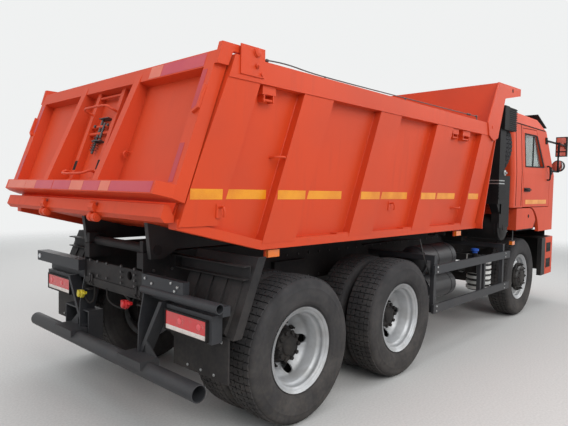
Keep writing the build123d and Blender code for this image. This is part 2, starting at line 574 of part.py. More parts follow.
with BuildPart() as tailgate:
    with BuildSketch(GATE_PLANE.offset(-GATE_DEPTH)):
        with Locations((0, gate_middle)):
            Rectangle(2 * GATE_HALF, gate_height)
    extrude(amount=GATE_SKIN)
    with BuildSketch(GATE_PLANE.offset(-GATE_DEPTH)):
        with Locations((0, GATE_HEAD - 50)):
            Rectangle(2 * GATE_HALF, 100)
        for sign in (-1, 1):
            with Locations((sign * (GATE_HALF - GATE_POST / 2), gate_middle)):
                Rectangle(GATE_POST, gate_height)
    extrude(amount=GATE_DEPTH)
    # Lower beam, its ends cut back to the posts
    with BuildSketch(Plane(origin=gate_point(GATE_FOOT, 0), x_dir=(0, -1, 0),
                           z_dir=(math.sin(GATE_LEAN), 0, math.cos(GATE_LEAN)))):
        polygon((-GATE_HALF, GATE_DEPTH), (GATE_HALF, GATE_DEPTH), (GATE_HALF, 0),
                (GATE_HALF - BEAM_CUT, -BEAM_PROUD), (-GATE_HALF + BEAM_CUT, -BEAM_PROUD), (-GATE_HALF, 0))
    extrude(amount=BEAM_HEIGHT)
    for sign in (-1, 1):
        # Middle channels, deepest at the lower beam
        channel = sorted((sign * GATE_CHANNEL_Y, sign * (GATE_CHANNEL_Y + GATE_CHANNEL_WIDTH)))
        with BuildSketch(Plane.XZ.offset(-channel[1])):
            polygon(*[gate_side(up, out) for up, out in (
                (GATE_FOOT, -GATE_DEPTH), (GATE_HEAD - 5, -GATE_DEPTH), (GATE_HEAD - 5, -2),
                (GATE_FOOT, BEAM_PROUD - 4))])
        extrude(amount=GATE_CHANNEL_WIDTH)
    # Ladder plates between them, with a slot in the foot of each
    for y in LADDER_YS:
        with BuildSketch(Plane.XZ.offset(-y - LADDER_WIDTH)):
            polygon(*[gate_side(up, out) for up, out in (
                (GATE_FOOT, -GATE_DEPTH), (GATE_HEAD - 90, -GATE_DEPTH), (GATE_HEAD - 90, LADDER_OUT),
                (GATE_FOOT + 120, LADDER_OUT), (GATE_FOOT + 60, BEAM_PROUD - 8),
                (GATE_FOOT, BEAM_PROUD - 8))])
        extrude(amount=LADDER_WIDTH)
        with BuildSketch(GATE_PLANE.offset(LADDER_OUT - 12)):
            with Locations((-y - LADDER_WIDTH / 2, SLOT_UP)):
                Rectangle(24, 70)
        extrude(amount=30, mode=Mode.SUBTRACT)
    for sign in (-1, 1):
        arm = sorted((sign * 1190, sign * 1222))
        with BuildSketch(Plane.XZ.offset(-arm[1])):
            polygon((GATE_LOW[0] + 308, 2325), (GATE_LOW[0] + 345, GATE_PIVOT_Z + 22),
                    (GATE_PIVOT_X, GATE_PIVOT_Z + 22), (GATE_PIVOT_X, GATE_PIVOT_Z - 22),
                    (GATE_LOW[0] + 425, GATE_PIVOT_Z - 22), (GATE_LOW[0] + 390, 2325))
        extrude(amount=arm[1] - arm[0])
        cross_tube(GATE_PIVOT_X, GATE_PIVOT_Z, arm[0], arm[1], 30)
        cross_tube(GATE_PIVOT_X, GATE_PIVOT_Z, arm[0] - 1, arm[1] + 1, GATE_PIN_R + PIN_GAP,
                   mode=Mode.SUBTRACT)
finish(tailgate, "tailgate")

# Cab: horizontal sections, each a rounded rectangle
CAB_FRONT = ahead(5850.0)
# Height, front station, half width, front corner radius
CAB_SECTIONS = (
    (1110.0, CAB_FRONT, 1200.0, 300.0),
    (1900.0, CAB_FRONT, 1200.0, 300.0),
    (2520.0, ahead(5520.0), 1165.0, 290.0),
    (2660.0, ahead(5260.0), 1110.0, 270.0),
    (2760.0, ahead(4950.0), 900.0, 240.0),
)
REAR_CORNER_R = 50.0


def cab_volume(inset, low, high):
    """The cab's outer form drawn in by an inset, between two heights."""
    rows = [list(row) for row in CAB_SECTIONS]
    rows[0][0], rows[-1][0] = low, high
    sections = []
    for z, front, half, radius in rows:
        rear = CAB_REAR + inset + max(0.0, (z - 2600) * 0.5)
        with BuildSketch(Plane.XY.offset(z)) as section:
            with Locations(((front - inset + rear) / 2, 0)):
                Rectangle(front - inset - rear, 2 * (half - inset))
            fillet(section.vertices().group_by(Axis.X)[-1], radius - inset)
            fillet(section.vertices().group_by(Axis.X)[0], REAR_CORNER_R)
        sections.append(section.sketch.face())
    loft(sections, ruled=True)


DOOR_OUTLINE = ((DOOR_REAR, DOOR_LOW), (DOOR_REAR, 2470), (ahead(4830), 2490), (ahead(5200), 2000),
                (DOOR_FRONT, 1860), (DOOR_FRONT, DOOR_LOW))
WINDOW_OUTLINE = ((ahead(4375), 1990), (ahead(4375), 2400), (ahead(4810), 2410), (ahead(5090), 2010))
SCREEN_OUTLINE = ((-1040, 1960), (1040, 1960), (980, 2480), (-980, 2480))
SCREEN_START = ahead(5250.0)

with BuildPart() as cab_outer:
    cab_volume(0.0, 1110.0, 2760.0)
with BuildPart() as cab_inner:
    cab_volume(CAB_WALL, 1100.0, 2715.0)
with BuildPart() as cab_skin:
    add(cab_outer.part)
    add(cab_inner.part, mode=Mode.SUBTRACT)

with BuildPart() as cab_shell:
    add(cab_skin.part)
    # Room for the front wheels and the engine below the floor
    with BuildSketch(Plane.XZ):
        with BuildLine() as arch:
            Polyline((ahead(4980), 1105), (ahead(4980), 1000), (ahead(3800), 1000), (ahead(3800), CAB_FLOOR),
                     (ahead(4600), CAB_FLOOR))
            ThreePointArc((ahead(4600), CAB_FLOOR), (ahead(4860), 1340), (ahead(4980), 1105))
        make_face(arch.edges())
    extrude(amount=1300, both=True, mode=Mode.SUBTRACT)
    with BuildSketch(Plane.XZ):
        polygon(*DOOR_OUTLINE)
        offset(amount=GAP, kind=Kind.INTERSECTION)
    extrude(amount=1300, both=True, mode=Mode.SUBTRACT)
    with BuildSketch(Plane.YZ.offset(SCREEN_START)):
        polygon(*SCREEN_OUTLINE)
    extrude(amount=700, mode=Mode.SUBTRACT)
    # Floor, tied to the walls behind and ahead of the doors
    box_between((CAB_REAR + 40, -1149, CAB_FLOOR), (ahead(5700), 1149, CAB_FLOOR + 40))
    box_between((CAB_REAR + 40, -1160, CAB_FLOOR), (DOOR_REAR - GAP, 1160, CAB_FLOOR + 40))
    box_between((DOOR_FRONT + GAP, -1160, CAB_FLOOR), (ahead(5540), 1160, CAB_FLOOR + 40))
    box_between((ahead(4900), -1160, CAB_FLOOR - 40), (ahead(5540), 1160, DOOR_LOW - GAP))
    # Arms down to the tilting pivot
    for sign in (-1, 1):
        with BuildSketch(Plane.XZ.offset(-max(sign * 440, sign * 470))):
            polygon((CAB_PIVOT_X + 29, 870), (CAB_PIVOT_X - 29, 830), (CAB_PIVOT_X - 446, 1425),
                    (CAB_PIVOT_X - 389, 1466))
        extrude(amount=30)
        arm = sorted((sign * 440, sign * 470))
        cross_tube(CAB_PIVOT_X, CAB_PIVOT_Z, arm[0], arm[1], 45)
        cross_tube(CAB_PIVOT_X, CAB_PIVOT_Z, arm[0] - 1, arm[1] + 1, CAB_PIN_R + PIN_GAP, mode=Mode.SUBTRACT)
finish(cab_shell, "cab_shell")

for side, sign in SIDES:
    with BuildPart() as door:
        add(cab_skin.part)
        with BuildSketch(Plane.XZ):
            polygon(*DOOR_OUTLINE)
            polygon(*WINDOW_OUTLINE, mode=Mode.SUBTRACT)
        extrude(amount=-sign * 1300, mode=Mode.INTERSECT)
    finish(door, f"door_{side}")

    with BuildPart() as pane:
        with BuildSketch(Plane.XZ.offset(-sign * 1158)):
            polygon(*WINDOW_OUTLINE)
        extrude(amount=-sign * 6)
    finish(pane, f"door_glass_{side}")

with BuildPart() as screen_outer:
    cab_volume(18.0, 1400.0, 2740.0)
with BuildPart() as screen_inner:
    cab_volume(28.0, 1400.0, 2735.0)
with BuildPart() as screen:
    add(screen_outer.part)
    add(screen_inner.part, mode=Mode.SUBTRACT)
    with BuildSketch(Plane.YZ.offset(SCREEN_START)):
        polygon(*SCREEN_OUTLINE)
    extrude(amount=700, mode=Mode.INTERSECT)
finish(screen, "windscreen")

# Cab inside: two seats, dashboard and steering wheel
SEAT_Y = 560.0
SEAT_HALF = 250.0
with BuildPart() as seats:
    for sign in (-1, 1):
        box_between((ahead(4150), sign * SEAT_Y - SEAT_HALF, CAB_FLOOR + 40),
                    (ahead(4650), sign * SEAT_Y + SEAT_HALF, 1850))
        box_between((ahead(4120), sign * SEAT_Y - SEAT_HALF + 10, 1800),
                    (ahead(4260), sign * SEAT_Y + SEAT_HALF - 10, 2430))
finish(seats, "seats")
with BuildPart() as dashboard:
    box_between((ahead(5350), -1060, CAB_FLOOR + 40), (ahead(5620), 1060, 1900))
    with Locations(Location((ahead(5180), SEAT_Y, 1960), (0, -50, 0))):
        Torus(220, 16)
        Cylinder(25, 30)
        Box(440, 20, 10)
    with Locations(Location((ahead(5265), SEAT_Y, 1890), (0, -50, 0))):
        Cylinder(22, 260)
finish(dashboard, "dashboard")

# Bumper: a wrap-round beam ahead of the front wheels
BUMPER_TOP = 1000.0
BUMPER_LOW = 465.0
BUMPER_REAR = ahead(5170.0)
BUMPER_WALL = 60.0
LAMP_SPAN = (560.0, 880.0)
with BuildPart() as bumper:
    with BuildSketch(Plane.XY.offset(BUMPER_LOW)) as plan:
        with Locations(((BUMPER_REAR + FRONT_X) / 2, 0)):
            Rectangle(FRONT_X - BUMPER_REAR, 2 * CAB_HALF)
        fillet(plan.vertices().group_by(Axis.X)[-1], 260)
    extrude(amount=BUMPER_TOP - BUMPER_LOW)
    with BuildSketch(Plane.XY.offset(BUMPER_LOW)) as hollow:
        with Locations(((BUMPER_REAR + FRONT_X) / 2 - BUMPER_WALL, 0)):
            Rectangle(FRONT_X - BUMPER_REAR, 2 * (CAB_HALF - BUMPER_WALL))
        fillet(hollow.vertices().group_by(Axis.X)[-1], 200)
    extrude(amount=BUMPER_TOP - BUMPER_LOW, mode=Mode.SUBTRACT)
    box_between((ahead(5540), -RAIL_OUTER_Y, 740), (FRONT_X - 50, RAIL_OUTER_Y, RAIL_TOP - RAIL_HEIGHT))
    for sign in (-1, 1):
        lamp = sorted((sign * LAMP_SPAN[0], sign * LAMP_SPAN[1]))
        box_between((FRONT_X - 45, lamp[0], 640), (FRONT_X + 5, lamp[1], 800), mode=Mode.SUBTRACT)
finish(bumper, "bumper")

# Front wheel arches: boxed mudguards under the cab's rear lower corners
ARCH_TOP = 1438.0
with BuildPart() as arches:
    for sign in (-1, 1):
        with BuildSketch(Plane.XZ.offset(-max(sign * 720, sign * 1195))):
            with BuildLine() as arch:
                Polyline((ahead(4850), 1260), (ahead(4760), 1160), (ahead(4110), 1160),
                         (ahead(4110), ARCH_TOP), (ahead(4560), ARCH_TOP))
                ThreePointArc((ahead(4560), ARCH_TOP), (ahead(4740), 1390), (ahead(4850), 1260))
            make_face(arch.edges())
        extrude(amount=475)
        room = sorted((sign * 740, sign * 1175))
        with BuildSketch(Plane.XZ.offset(-room[1])):
            with BuildLine() as under:
                Polyline((ahead(4825), 1250), (ahead(4760), 1150), (ahead(4130), 1150),
                         (ahead(4130), ARCH_TOP - 20), (ahead(4560), ARCH_TOP - 20))
                ThreePointArc((ahead(4560), ARCH_TOP - 20), (ahead(4726), 1376), (ahead(4825), 1250))
            make_face(under.edges())
        extrude(amount=room[1] - room[0], mode=Mode.SUBTRACT)
        post = sorted((sign * RAIL_OUTER_Y, sign * (RAIL_OUTER_Y + 30)))
        box_between((ahead(4300), post[0], 1000), (ahead(4340), post[1], 1240))
        beam = sorted((sign * RAIL_OUTER_Y, sign * 730))
        box_between((ahead(4300), beam[0], 1200), (ahead(4340), beam[1], 1240))
finish(arches, "front_mudguards")

# Rear mudguards: leaning fluted panels on a cross channel, with rubber flaps below
GUARD_TOP = (ahead(-458), 1200.0)
GUARD_FOOT = (ahead(-655), 715.0)
GUARD_SHEET = 12.0
GUARD_INNER_Y = 610.0
GUARD_OUTER_Y = 1222.0
FLUTE_DEPTH = 16.0
FLUTES = (660.0, 800.0, 940.0, 1080.0)   # nearer edge of each flute
FLUTE_WIDTH = 76.0
with BuildPart() as mudguards:
    for sign in (-1, 1):
        panel = sorted((sign * GUARD_INNER_Y, sign * GUARD_OUTER_Y))
        with BuildSketch(Plane.XZ.offset(-panel[1])):
            polygon(GUARD_TOP, (GUARD_TOP[0] + GUARD_SHEET, GUARD_TOP[1]),
                    (GUARD_FOOT[0] + GUARD_SHEET, GUARD_FOOT[1]), GUARD_FOOT)
        extrude(amount=panel[1] - panel[0])
        for start in FLUTES:
            flute = sorted((sign * start, sign * (start + FLUTE_WIDTH)))
            with BuildSketch(Plane.XZ.offset(-flute[1])):
                polygon((GUARD_TOP[0] + 3, GUARD_TOP[1] - 12), (GUARD_FOOT[0] + 3, GUARD_FOOT[1] + 12),
                        (GUARD_FOOT[0] - FLUTE_DEPTH, GUARD_FOOT[1] + 40),
                        (GUARD_TOP[0] - FLUTE_DEPTH, GUARD_TOP[1] - 40))
            extrude(amount=FLUTE_WIDTH)
        # Turned edge at the outside
        edge = sorted((sign * (GUARD_OUTER_Y - 12), sign * GUARD_OUTER_Y))
        with BuildSketch(Plane.XZ.offset(-edge[1])):
            polygon(GUARD_TOP, (GUARD_TOP[0] + 70, GUARD_TOP[1]), (GUARD_FOOT[0] + 70, GUARD_FOOT[1]),
                    GUARD_FOOT)
        extrude(amount=12)
        flap = sorted((sign * 630, sign * 1190))
        box_between((ahead(-664), flap[0], 440), (ahead(-652), flap[1], 722))
        # Channel across from the rail, open to the rear and at its end
        channel = sorted((sign * RAIL_OUTER_Y, sign * 1200))
        box_between((ahead(-560), channel[0], 1062), (ahead(-500), channel[1], 1150))
        hollow = sorted((sign * (RAIL_OUTER_Y + 60), sign * 1210))
        box_between((ahead(-570), hollow[0], 1070), (ahead(-508), hollow[1], 1142), mode=Mode.SUBTRACT)
finish(mudguards, "rear_mudguards")

# Underrun guard: a pipe on two legs from the frame's end
PIPE_X = ahead(-860.0)
PIPE_Z = 437.0
PIPE_R = 54.0
PIPE_HALF = 1165.0
LAMP = (705.0, 1120.0, 715.0, 835.0)     # from and to across, from and to in height
LAMP_FACE = ahead(-780.0)
with BuildPart() as underrun:
    # Open box beside the left leg
    box_between((ahead(-795), 330, 400), (ahead(-675), 740, 640))
    box_between((ahead(-800), 342, 412), (ahead(-685), 728, 628), mode=Mode.SUBTRACT)
    cross_tube(PIPE_X, PIPE_Z, -PIPE_HALF, PIPE_HALF, PIPE_R)
    for sign in (-1, 1):
        leg = sorted((sign * RAIL_OUTER_Y, sign * (RAIL_OUTER_Y + 12)))
        with BuildSketch(Plane.XZ.offset(-leg[1])):
            polygon((ahead(-820), 470), (ahead(-740), 470), (ahead(-600), 1000), (ahead(-760), 1000),
                    (ahead(-815), 700))
        extrude(amount=12)
        clamp = sorted((sign * 350, sign * 645))
        box_between((ahead(-928), clamp[0], 452), (ahead(-786), clamp[1], 503))
        # Brace from the lamp beam down to the clamp
        slant = [(sign * y, z) for y, z in ((690, 880), (655, 880), (418, 500), (456, 500))]
        with BuildSketch(Plane.YZ.offset(ahead(-800))):
            polygon(*slant)
        extrude(amount=90)
        gusset = [(sign * y, z) for y, z in ((500, 495), (640, 495), (500, 600))]
        with BuildSketch(Plane.YZ.offset(ahead(-800))):
            polygon(*gusset)
        extrude(amount=10)
        # Lamp box with its beam to the frame
        span = sorted((sign * (LAMP[0] - 15), sign * (LAMP[1] + 40)))
        box_between((ahead(-765), span[0], LAMP[2] - 15), (ahead(-688), span[1], LAMP[3] + 35))
        recess = sorted((sign * LAMP[0], sign * LAMP[1]))
        box_between((ahead(-790), recess[0], LAMP[2]), (ahead(-700), recess[1], LAMP[3]), mode=Mode.SUBTRACT)
        beam = sorted((sign * RAIL_OUTER_Y, sign * 1200))
        box_between((ahead(-720), beam[0], LAMP[3] + 30), (ahead(-660), beam[1], LAMP[3] + 90))
    cross_tube(PIPE_X, PIPE_Z, -PIPE_HALF - 5, PIPE_HALF + 5, PIPE_R - 6, mode=Mode.SUBTRACT)
    # Bar of the left lamp, tube of the right one, and the plate over it
    box_between((ahead(-830), RAIL_OUTER_Y, 950), (ahead(-735), 1235, 1035))
    box_between((ahead(-822), 700, 958), (ahead(-743), 1240, 1027), mode=Mode.SUBTRACT)
    cross_tube(ahead(-775), 930, -1240, -RAIL_OUTER_Y, 31)
    cross_tube(ahead(-775), 930, -1241, -RAIL_OUTER_Y - 200, 25, mode=Mode.SUBTRACT)
    box_between((ahead(-790), -900, 955), (ahead(-740), -RAIL_OUTER_Y, 1035))
finish(underrun, "underrun_guard")

with BuildPart() as lamps:
    for sign in (-1, 1):
        span = sorted((sign * LAMP[0], sign * LAMP[1]))
        box_between((LAMP_FACE, span[0], LAMP[2]), (ahead(-700), span[1], LAMP[3]))
finish(lamps, "rear_lamps")

# Side guards ahead of the bogie: two flat rails on posts
with BuildPart() as guards:
    for sign in (-1, 1):
        board = sorted((sign * 1190, sign * 1215))
        for z in (455, 835):
            box_between((ahead(1900), board[0], z), (ahead(3880), board[1], z + 85))
        for station in (3040, 3150):
            twin = sorted((sign * 1150, sign * 1192))
            box_between((ahead(station), twin[0], 455), (ahead(station) + 40, twin[1], 920))
        for station in (1930, 3700):
            post = sorted((sign * 1150, sign * 1192))
            box_between((ahead(station), post[0], 455), (ahead(station) + 50, post[1], 1000))
            arm = sorted((sign * RAIL_OUTER_Y, sign * 1192))
            box_between((ahead(station), arm[0], 960), (ahead(station) + 50, arm[1], 1010))
finish(guards, "side_guards")

# Tanks on the frame's sides: fuel on the left, air on the right
# Air tanks: rear station, front station, offset, height, radius
AIR_TANKS = ((2000, 2780, -900, 920, 150), (2000, 2700, -960, 640, 130))
with BuildPart() as tanks:
    with BuildSketch(Plane.YZ.offset(ahead(2150))) as outline:
        with Locations((800, 700)):
            Rectangle(600, 500)
        fillet(outline.vertices(), 110)
    extrude(amount=1300)
    for station in (2350, 3150):
        box_between((ahead(station), RAIL_OUTER_Y, 820), (ahead(station) + 60, 560, 900))
    for rear, front, y, z, radius in AIR_TANKS:
        dome = 0.4 * radius
        flat = 0.2 * radius
        with BuildSketch(Plane(origin=(0, y, z), x_dir=(1, 0, 0), z_dir=(0, -1, 0))):
            with BuildLine() as half:
                Polyline((ahead(rear), flat), (ahead(rear), 0), (ahead(front), 0), (ahead(front), flat))
                ThreePointArc((ahead(front), flat), (ahead(front) - 0.42 * dome, 0.7 * radius),
                              (ahead(front) - dome, radius))
                Line((ahead(front) - dome, radius), (ahead(rear) + dome, radius))
                ThreePointArc((ahead(rear) + dome, radius), (ahead(rear) + 0.42 * dome, 0.7 * radius),
                              (ahead(rear), flat))
            make_face(half.edges())
        revolve(axis=Axis((0, y, z), (1, 0, 0)))
    for station in (2150, 2550):
        box_between((ahead(station), -900, 880), (ahead(station) + 40, -RAIL_OUTER_Y, 940))
        box_between((ahead(station), -960, 640), (ahead(station) + 40, -900, 940))
finish(tanks, "side_tanks")

# Exhaust silencer standing ahead of the air tanks, with a slatted heat shield
SILENCER = (ahead(3440), -1010.0)
SILENCER_R = 125.0
SHIELD_SLATS = range(500, 820, 62)
with BuildPart() as silencer:
    with Locations((SILENCER[0], SILENCER[1], 655)):
        Cylinder(SILENCER_R, 370)
    for z in SHIELD_SLATS:
        with Locations((SILENCER[0], SILENCER[1], z)):
            Cylinder(SILENCER_R + 14, 34)
    box_between((SILENCER[0] - 40, SILENCER[1], 820), (SILENCER[0] + 40, -RAIL_OUTER_Y, 880))
finish(silencer, "silencer")

# Air cleaner drum behind the cab, with its intake duct
with BuildPart() as cleaner:
    cross_tube(ahead(3690), 1215, -1170, -600, 155)
    box_between((ahead(3540), -1190, 1215), (ahead(3850), -1095, 1840))
    box_between((ahead(3620), -700, RAIL_TOP - 60), (ahead(3720), -RAIL_OUTER_Y, 1110))
finish(cleaner, "air_cleaner")

# Spare wheel standing crosswise behind the cab
SPARE_PLANE = Plane(origin=(SPARE_X, SPARE_Y, SPARE_Z), x_dir=(1, 0, 0), z_dir=(0, -1, 0))
SPARE_AXIS = Axis((SPARE_X, SPARE_Y, SPARE_Z), (1, 0, 0))
with BuildPart() as spare_tyre:
    with BuildSketch(SPARE_PLANE):
        tyre_profile()
    revolve(axis=SPARE_AXIS)
finish(spare_tyre, "spare_tyre")
with BuildPart() as spare_rim:
    with BuildSketch(SPARE_PLANE):
        rim_profile(-85, 60)
    revolve(axis=SPARE_AXIS)
finish(spare_rim, "spare_rim")
# Cab trim: sun visor, mirrors and their arms
MIRROR_X = ahead(5750.0)
MIRROR_ARMS = ((1965, 5450, 1198), (2385, 5250, 1175))    # height, station of the root, offset
with BuildPart() as trim:
    with BuildSketch(Plane.XZ):
        polygon((ahead(5150), 2757), (ahead(5560), 2610), (ahead(5560), 2600), (ahead(5150), 2745))
    extrude(amount=1080, both=True)
    for sign in (-1, 1):
        stay = sorted((sign * 700, sign * 720))
        box_between((ahead(5200), stay[0], 2682), (ahead(5240), stay[1], 2735))
        box_between((MIRROR_X - 30, sign * 1245 - 75, 2190), (MIRROR_X + 30, sign * 1245 + 75, 2480))
        long_tube(MIRROR_X - 30, MIRROR_X + 30, sign * 1210, 2050, 85)
        with Locations((MIRROR_X - 45, sign * 1215, 2175)):
            Cylinder(12, 440)
        for z, start, root in MIRROR_ARMS:
            arm = sorted((sign * root, sign * (root + 18)))
            box_between((ahead(start), arm[0], z - 12), (MIRROR_X - 30, arm[1], z + 12))
            tie = sorted((sign * root, sign * 1232))
            box_between((MIRROR_X - 60, tie[0], z - 12), (MIRROR_X - 30, tie[1], z + 12))
finish(trim, "cab_trim")

# Headlamps in the bumper, and the grille above it
with BuildPart() as headlamps:
    for sign in (-1, 1):
        span = sorted((sign * LAMP_SPAN[0], sign * LAMP_SPAN[1]))
        box_between((FRONT_X - 45, span[0], 640), (FRONT_X - 2, span[1], 800))
finish(headlamps, "headlamps")
with BuildPart() as grille:
    for z in range(1220, 1800, 90):
        box_between((CAB_FRONT, -780, z), (CAB_FRONT + 16, 780, z + 50))
    for y in (-790, -10, 770):
        box_between((CAB_FRONT, y, 1210), (CAB_FRONT + 12, y + 20, 1810))
finish(grille, "grille")
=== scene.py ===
import math

import bmesh
import bpy
from mathutils import Matrix, Vector


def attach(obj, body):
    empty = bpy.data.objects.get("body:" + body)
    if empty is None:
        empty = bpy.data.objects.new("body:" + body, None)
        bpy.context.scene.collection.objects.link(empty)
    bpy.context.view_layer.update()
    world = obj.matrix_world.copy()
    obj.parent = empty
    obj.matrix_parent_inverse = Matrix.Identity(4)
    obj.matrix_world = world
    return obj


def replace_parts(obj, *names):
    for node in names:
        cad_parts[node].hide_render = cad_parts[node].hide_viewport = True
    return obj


bl_info = {
    "name": "Rear tipper",
    "version": (1, 0, 0),
    "blender": (4, 5, 0),
    "location": "View3D > Sidebar > Tipper",
    "description": "Materials and fittings of a three-axle rear tipper",
    "category": "Object",
}

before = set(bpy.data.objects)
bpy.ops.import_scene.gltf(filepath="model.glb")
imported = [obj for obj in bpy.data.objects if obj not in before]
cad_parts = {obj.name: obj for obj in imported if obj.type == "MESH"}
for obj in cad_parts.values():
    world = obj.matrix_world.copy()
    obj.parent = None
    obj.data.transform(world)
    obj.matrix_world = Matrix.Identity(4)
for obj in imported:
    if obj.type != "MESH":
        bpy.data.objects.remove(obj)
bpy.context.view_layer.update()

# Driving places, metres
REAR_AXLE_X = -2.37
MID_AXLE_X = -1.05
FRONT_AXLE_X = 2.14
HUB_Z = 0.515
TYRE_R = 0.515
FRONT_WHEEL_Y = 1.013
TWIN_INNER_Y = 0.765
TWIN_OUTER_Y = 1.085
LEDGE_TOP = 1.296
LEDGE_BOTTOM = 1.236
GATE_LOW = (-3.483, 1.46)
GATE_LEAN = math.radians(19.6)
SPARE = (1.37, -0.69, 2.2)
SIDES = (("left", 1), ("right", -1))
AHEAD = (1, 0, 0)
REAR = (-1, 0, 0)
LEFT = (0, 1, 0)
RIGHT = (0, -1, 0)
UP = (0, 0, 1)
# A piece is made once as given, once with its mirror image, or once for each side
ONE, BOTH, EACH = "one", "both", "each"


def ahead(distance):
    """Station along the vehicle, measured forward from the rearmost axle."""
    return REAR_AXLE_X + distance


def gate(across, up, out):
    """A point on the leaning tailgate: across, up from its foot and out from its outer face."""
    return Vector((GATE_LOW[0] + up * math.sin(GATE_LEAN) - out * math.cos(GATE_LEAN), across,
                   GATE_LOW[1] + up * math.cos(GATE_LEAN) + out * math.sin(GATE_LEAN)))


def skin_y(z):
    """Outer face of the bed's side sheet at height z."""
    return 1.095 + (z - 1.236) * 0.0725


def rib_y(z):
    """Outer face of the bed's ribs at height z."""
    return 1.165 + (z - 1.246) * 0.0654


def linear(red, green, blue):
    """A colour given as 0 to 255 steps, as linear values."""
    steps = [c / 255 for c in (red, green, blue)]
    return tuple(c / 12.92 if c <= 0.04045 else ((c + 0.055) / 1.055) ** 2.4 for c in steps) + (1.0,)


# The scene's own materials by name
PAINTS = {}


# Mesh work
def prism(bm, outline, run):
    """A straight bar: a flat outline of points carried along a vector."""
    run = Vector(run)
    first = [bm.verts.new(Vector(p)) for p in outline]
    last = [bm.verts.new(Vector(p) + run) for p in outline]
    bm.faces.new(first)
    bm.faces.new(last[::-1])
    for i, point in enumerate(first):
        j = (i + 1) % len(first)
        bm.faces.new((point, last[i], last[j], first[j]))


def block(bm, low, high):
    """A bar between two opposite corners."""
    x0, y0, z0 = low
    x1, y1, z1 = high
    prism(bm, ((x0, y0, z0), (x1, y0, z0), (x1, y1, z0), (x0, y1, z0)), (0, 0, z1 - z0))


def crosswise(direction):
    """Two unit vectors square to a direction."""
    d = Vector(direction).normalized()
    helper = Vector((0, 0, 1)) if abs(d.z) < 0.9 else Vector((1, 0, 0))
    u = d.cross(helper).normalized()
    return u, d.cross(u)


def skin_rings(bm, rings):
    """Faces between neighbouring rings of vertices, and over both ends."""
    for low, high in zip(rings, rings[1:]):
        for k in range(len(low)):
            n = (k + 1) % len(low)
            bm.faces.new((low[k], low[n], high[n], high[k]))
    bm.faces.new(rings[0][::-1])
    bm.faces.new(rings[-1])


def ring_of(bm, centre, u, v, radius, sides):
    """A ring of vertices in the plane of two unit vectors."""
    angles = [2 * math.pi * k / sides for k in range(sides)]
    return [bm.verts.new(centre + (u * math.cos(a) + v * math.sin(a)) * radius) for a in angles]


def lathe(bm, centre, direction, profile, sides=24):
    """A turned solid: rows of distance along the axis and radius, closed at both ends."""
    centre = Vector(centre)
    d = Vector(direction).normalized()
    rings = [ring_of(bm, centre + d * along, *crosswise(d), radius, sides) for along, radius in profile]
    skin_rings(bm, rings)


def rod(bm, start, end, radius, sides=12):
    """A round bar with slightly rounded ends between two points."""
    start, end = Vector(start), Vector(end)
    length = (end - start).length
    edge = min(radius * 0.2, length * 0.2)
    lathe(bm, start, end - start, ((0, radius - edge), (edge, radius), (length - edge, radius),
                                   (length, radius - edge)), sides)


def smooth_path(points, parts=6):
    """Points on a smooth line through the given ones."""
    p = [Vector(q) for q in points]
    ends = [2 * p[0] - p[1]] + p + [2 * p[-1] - p[-2]]
    path = []
    for a, b, c, d in zip(ends, ends[1:], ends[2:], ends[3:]):
        for k in range(parts):
            t = k / parts
            path.append(0.5 * ((2 * b) + (c - a) * t + (2 * a - 5 * b + 4 * c - d) * t * t
                               + (3 * b - a - 3 * c + d) * t ** 3))
    return path + [p[-1]]


def pipe(bm, points, radius, sides=8, smooth=True):
    """A bent round bar through the points."""
    path = smooth_path(points) if smooth else [Vector(q) for q in points]
    u = crosswise(path[1] - path[0])[0]
    rings = []
    for i, point in enumerate(path):
        d = (path[min(i + 1, len(path) - 1)] - path[max(i - 1, 0)]).normalized()
        u = (u - d * u.dot(d)).normalized()
        rings.append(ring_of(bm, point, u, d.cross(u), radius, sides))
    skin_rings(bm, rings)


def nut(bm, centre, direction, across=0.03, height=0.02, stud=0.0):
    """A hexagon nut with a chamfered head, and a stud through it."""
    corner = across * 0.577
    lathe(bm, centre, direction, ((0, corner), (height * 0.8, corner), (height, across * 0.45)), 6)
    if stud:
        d = Vector(direction).normalized()
        rod(bm, Vector(centre) + d * height * 0.9, Vector(centre) + d * (height + stud), across * 0.28, 8)


def soften(bm, width, angle=35.0):
    """Round the sharp edges."""
    edges = [e for e in bm.edges if len(e.link_faces) == 2 and e.calc_face_angle(0.0) > math.radians(angle)]
    bmesh.ops.bevel(bm, geom=edges, offset=width, segments=2, profile=0.5, affect="EDGES",
                    clamp_overlap=True)


def as_mesh(bm, name):
    """Close the mesh work and give the mesh, normals outward."""
    bmesh.ops.recalc_face_normals(bm, faces=bm.faces)
    mesh = bpy.data.meshes.new(name)
    bm.to_mesh(mesh)
    bm.free()
    return mesh


def place(mesh, name, body, material, smooth=32.0):
    """Make the piece of a mesh and let it ride on its body."""
    if not mesh.materials:
        mesh.materials.append(PAINTS[material])
    mesh.shade_smooth()
    mesh.set_sharp_from_angle(angle=math.radians(smooth))
    obj = bpy.data.objects.new(name, mesh)
    bpy.context.scene.collection.objects.link(obj)
    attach(obj, body)
    return obj


def piece(bm, name, body, material, slot="", smooth=32.0):
    """Finish one piece from its mesh work."""
    return place(as_mesh(bm, name), name, body, material, smooth)


def add_mirror_image(bm):
    """Copy the mesh work to the vehicle's other side."""
    copy = bmesh.ops.duplicate(bm, geom=[*bm.verts, *bm.edges, *bm.faces])["geom"]
    verts = [item for item in copy if isinstance(item, bmesh.types.BMVert)]
    bmesh.ops.scale(bm, vec=(1, -1, 1), verts=verts)


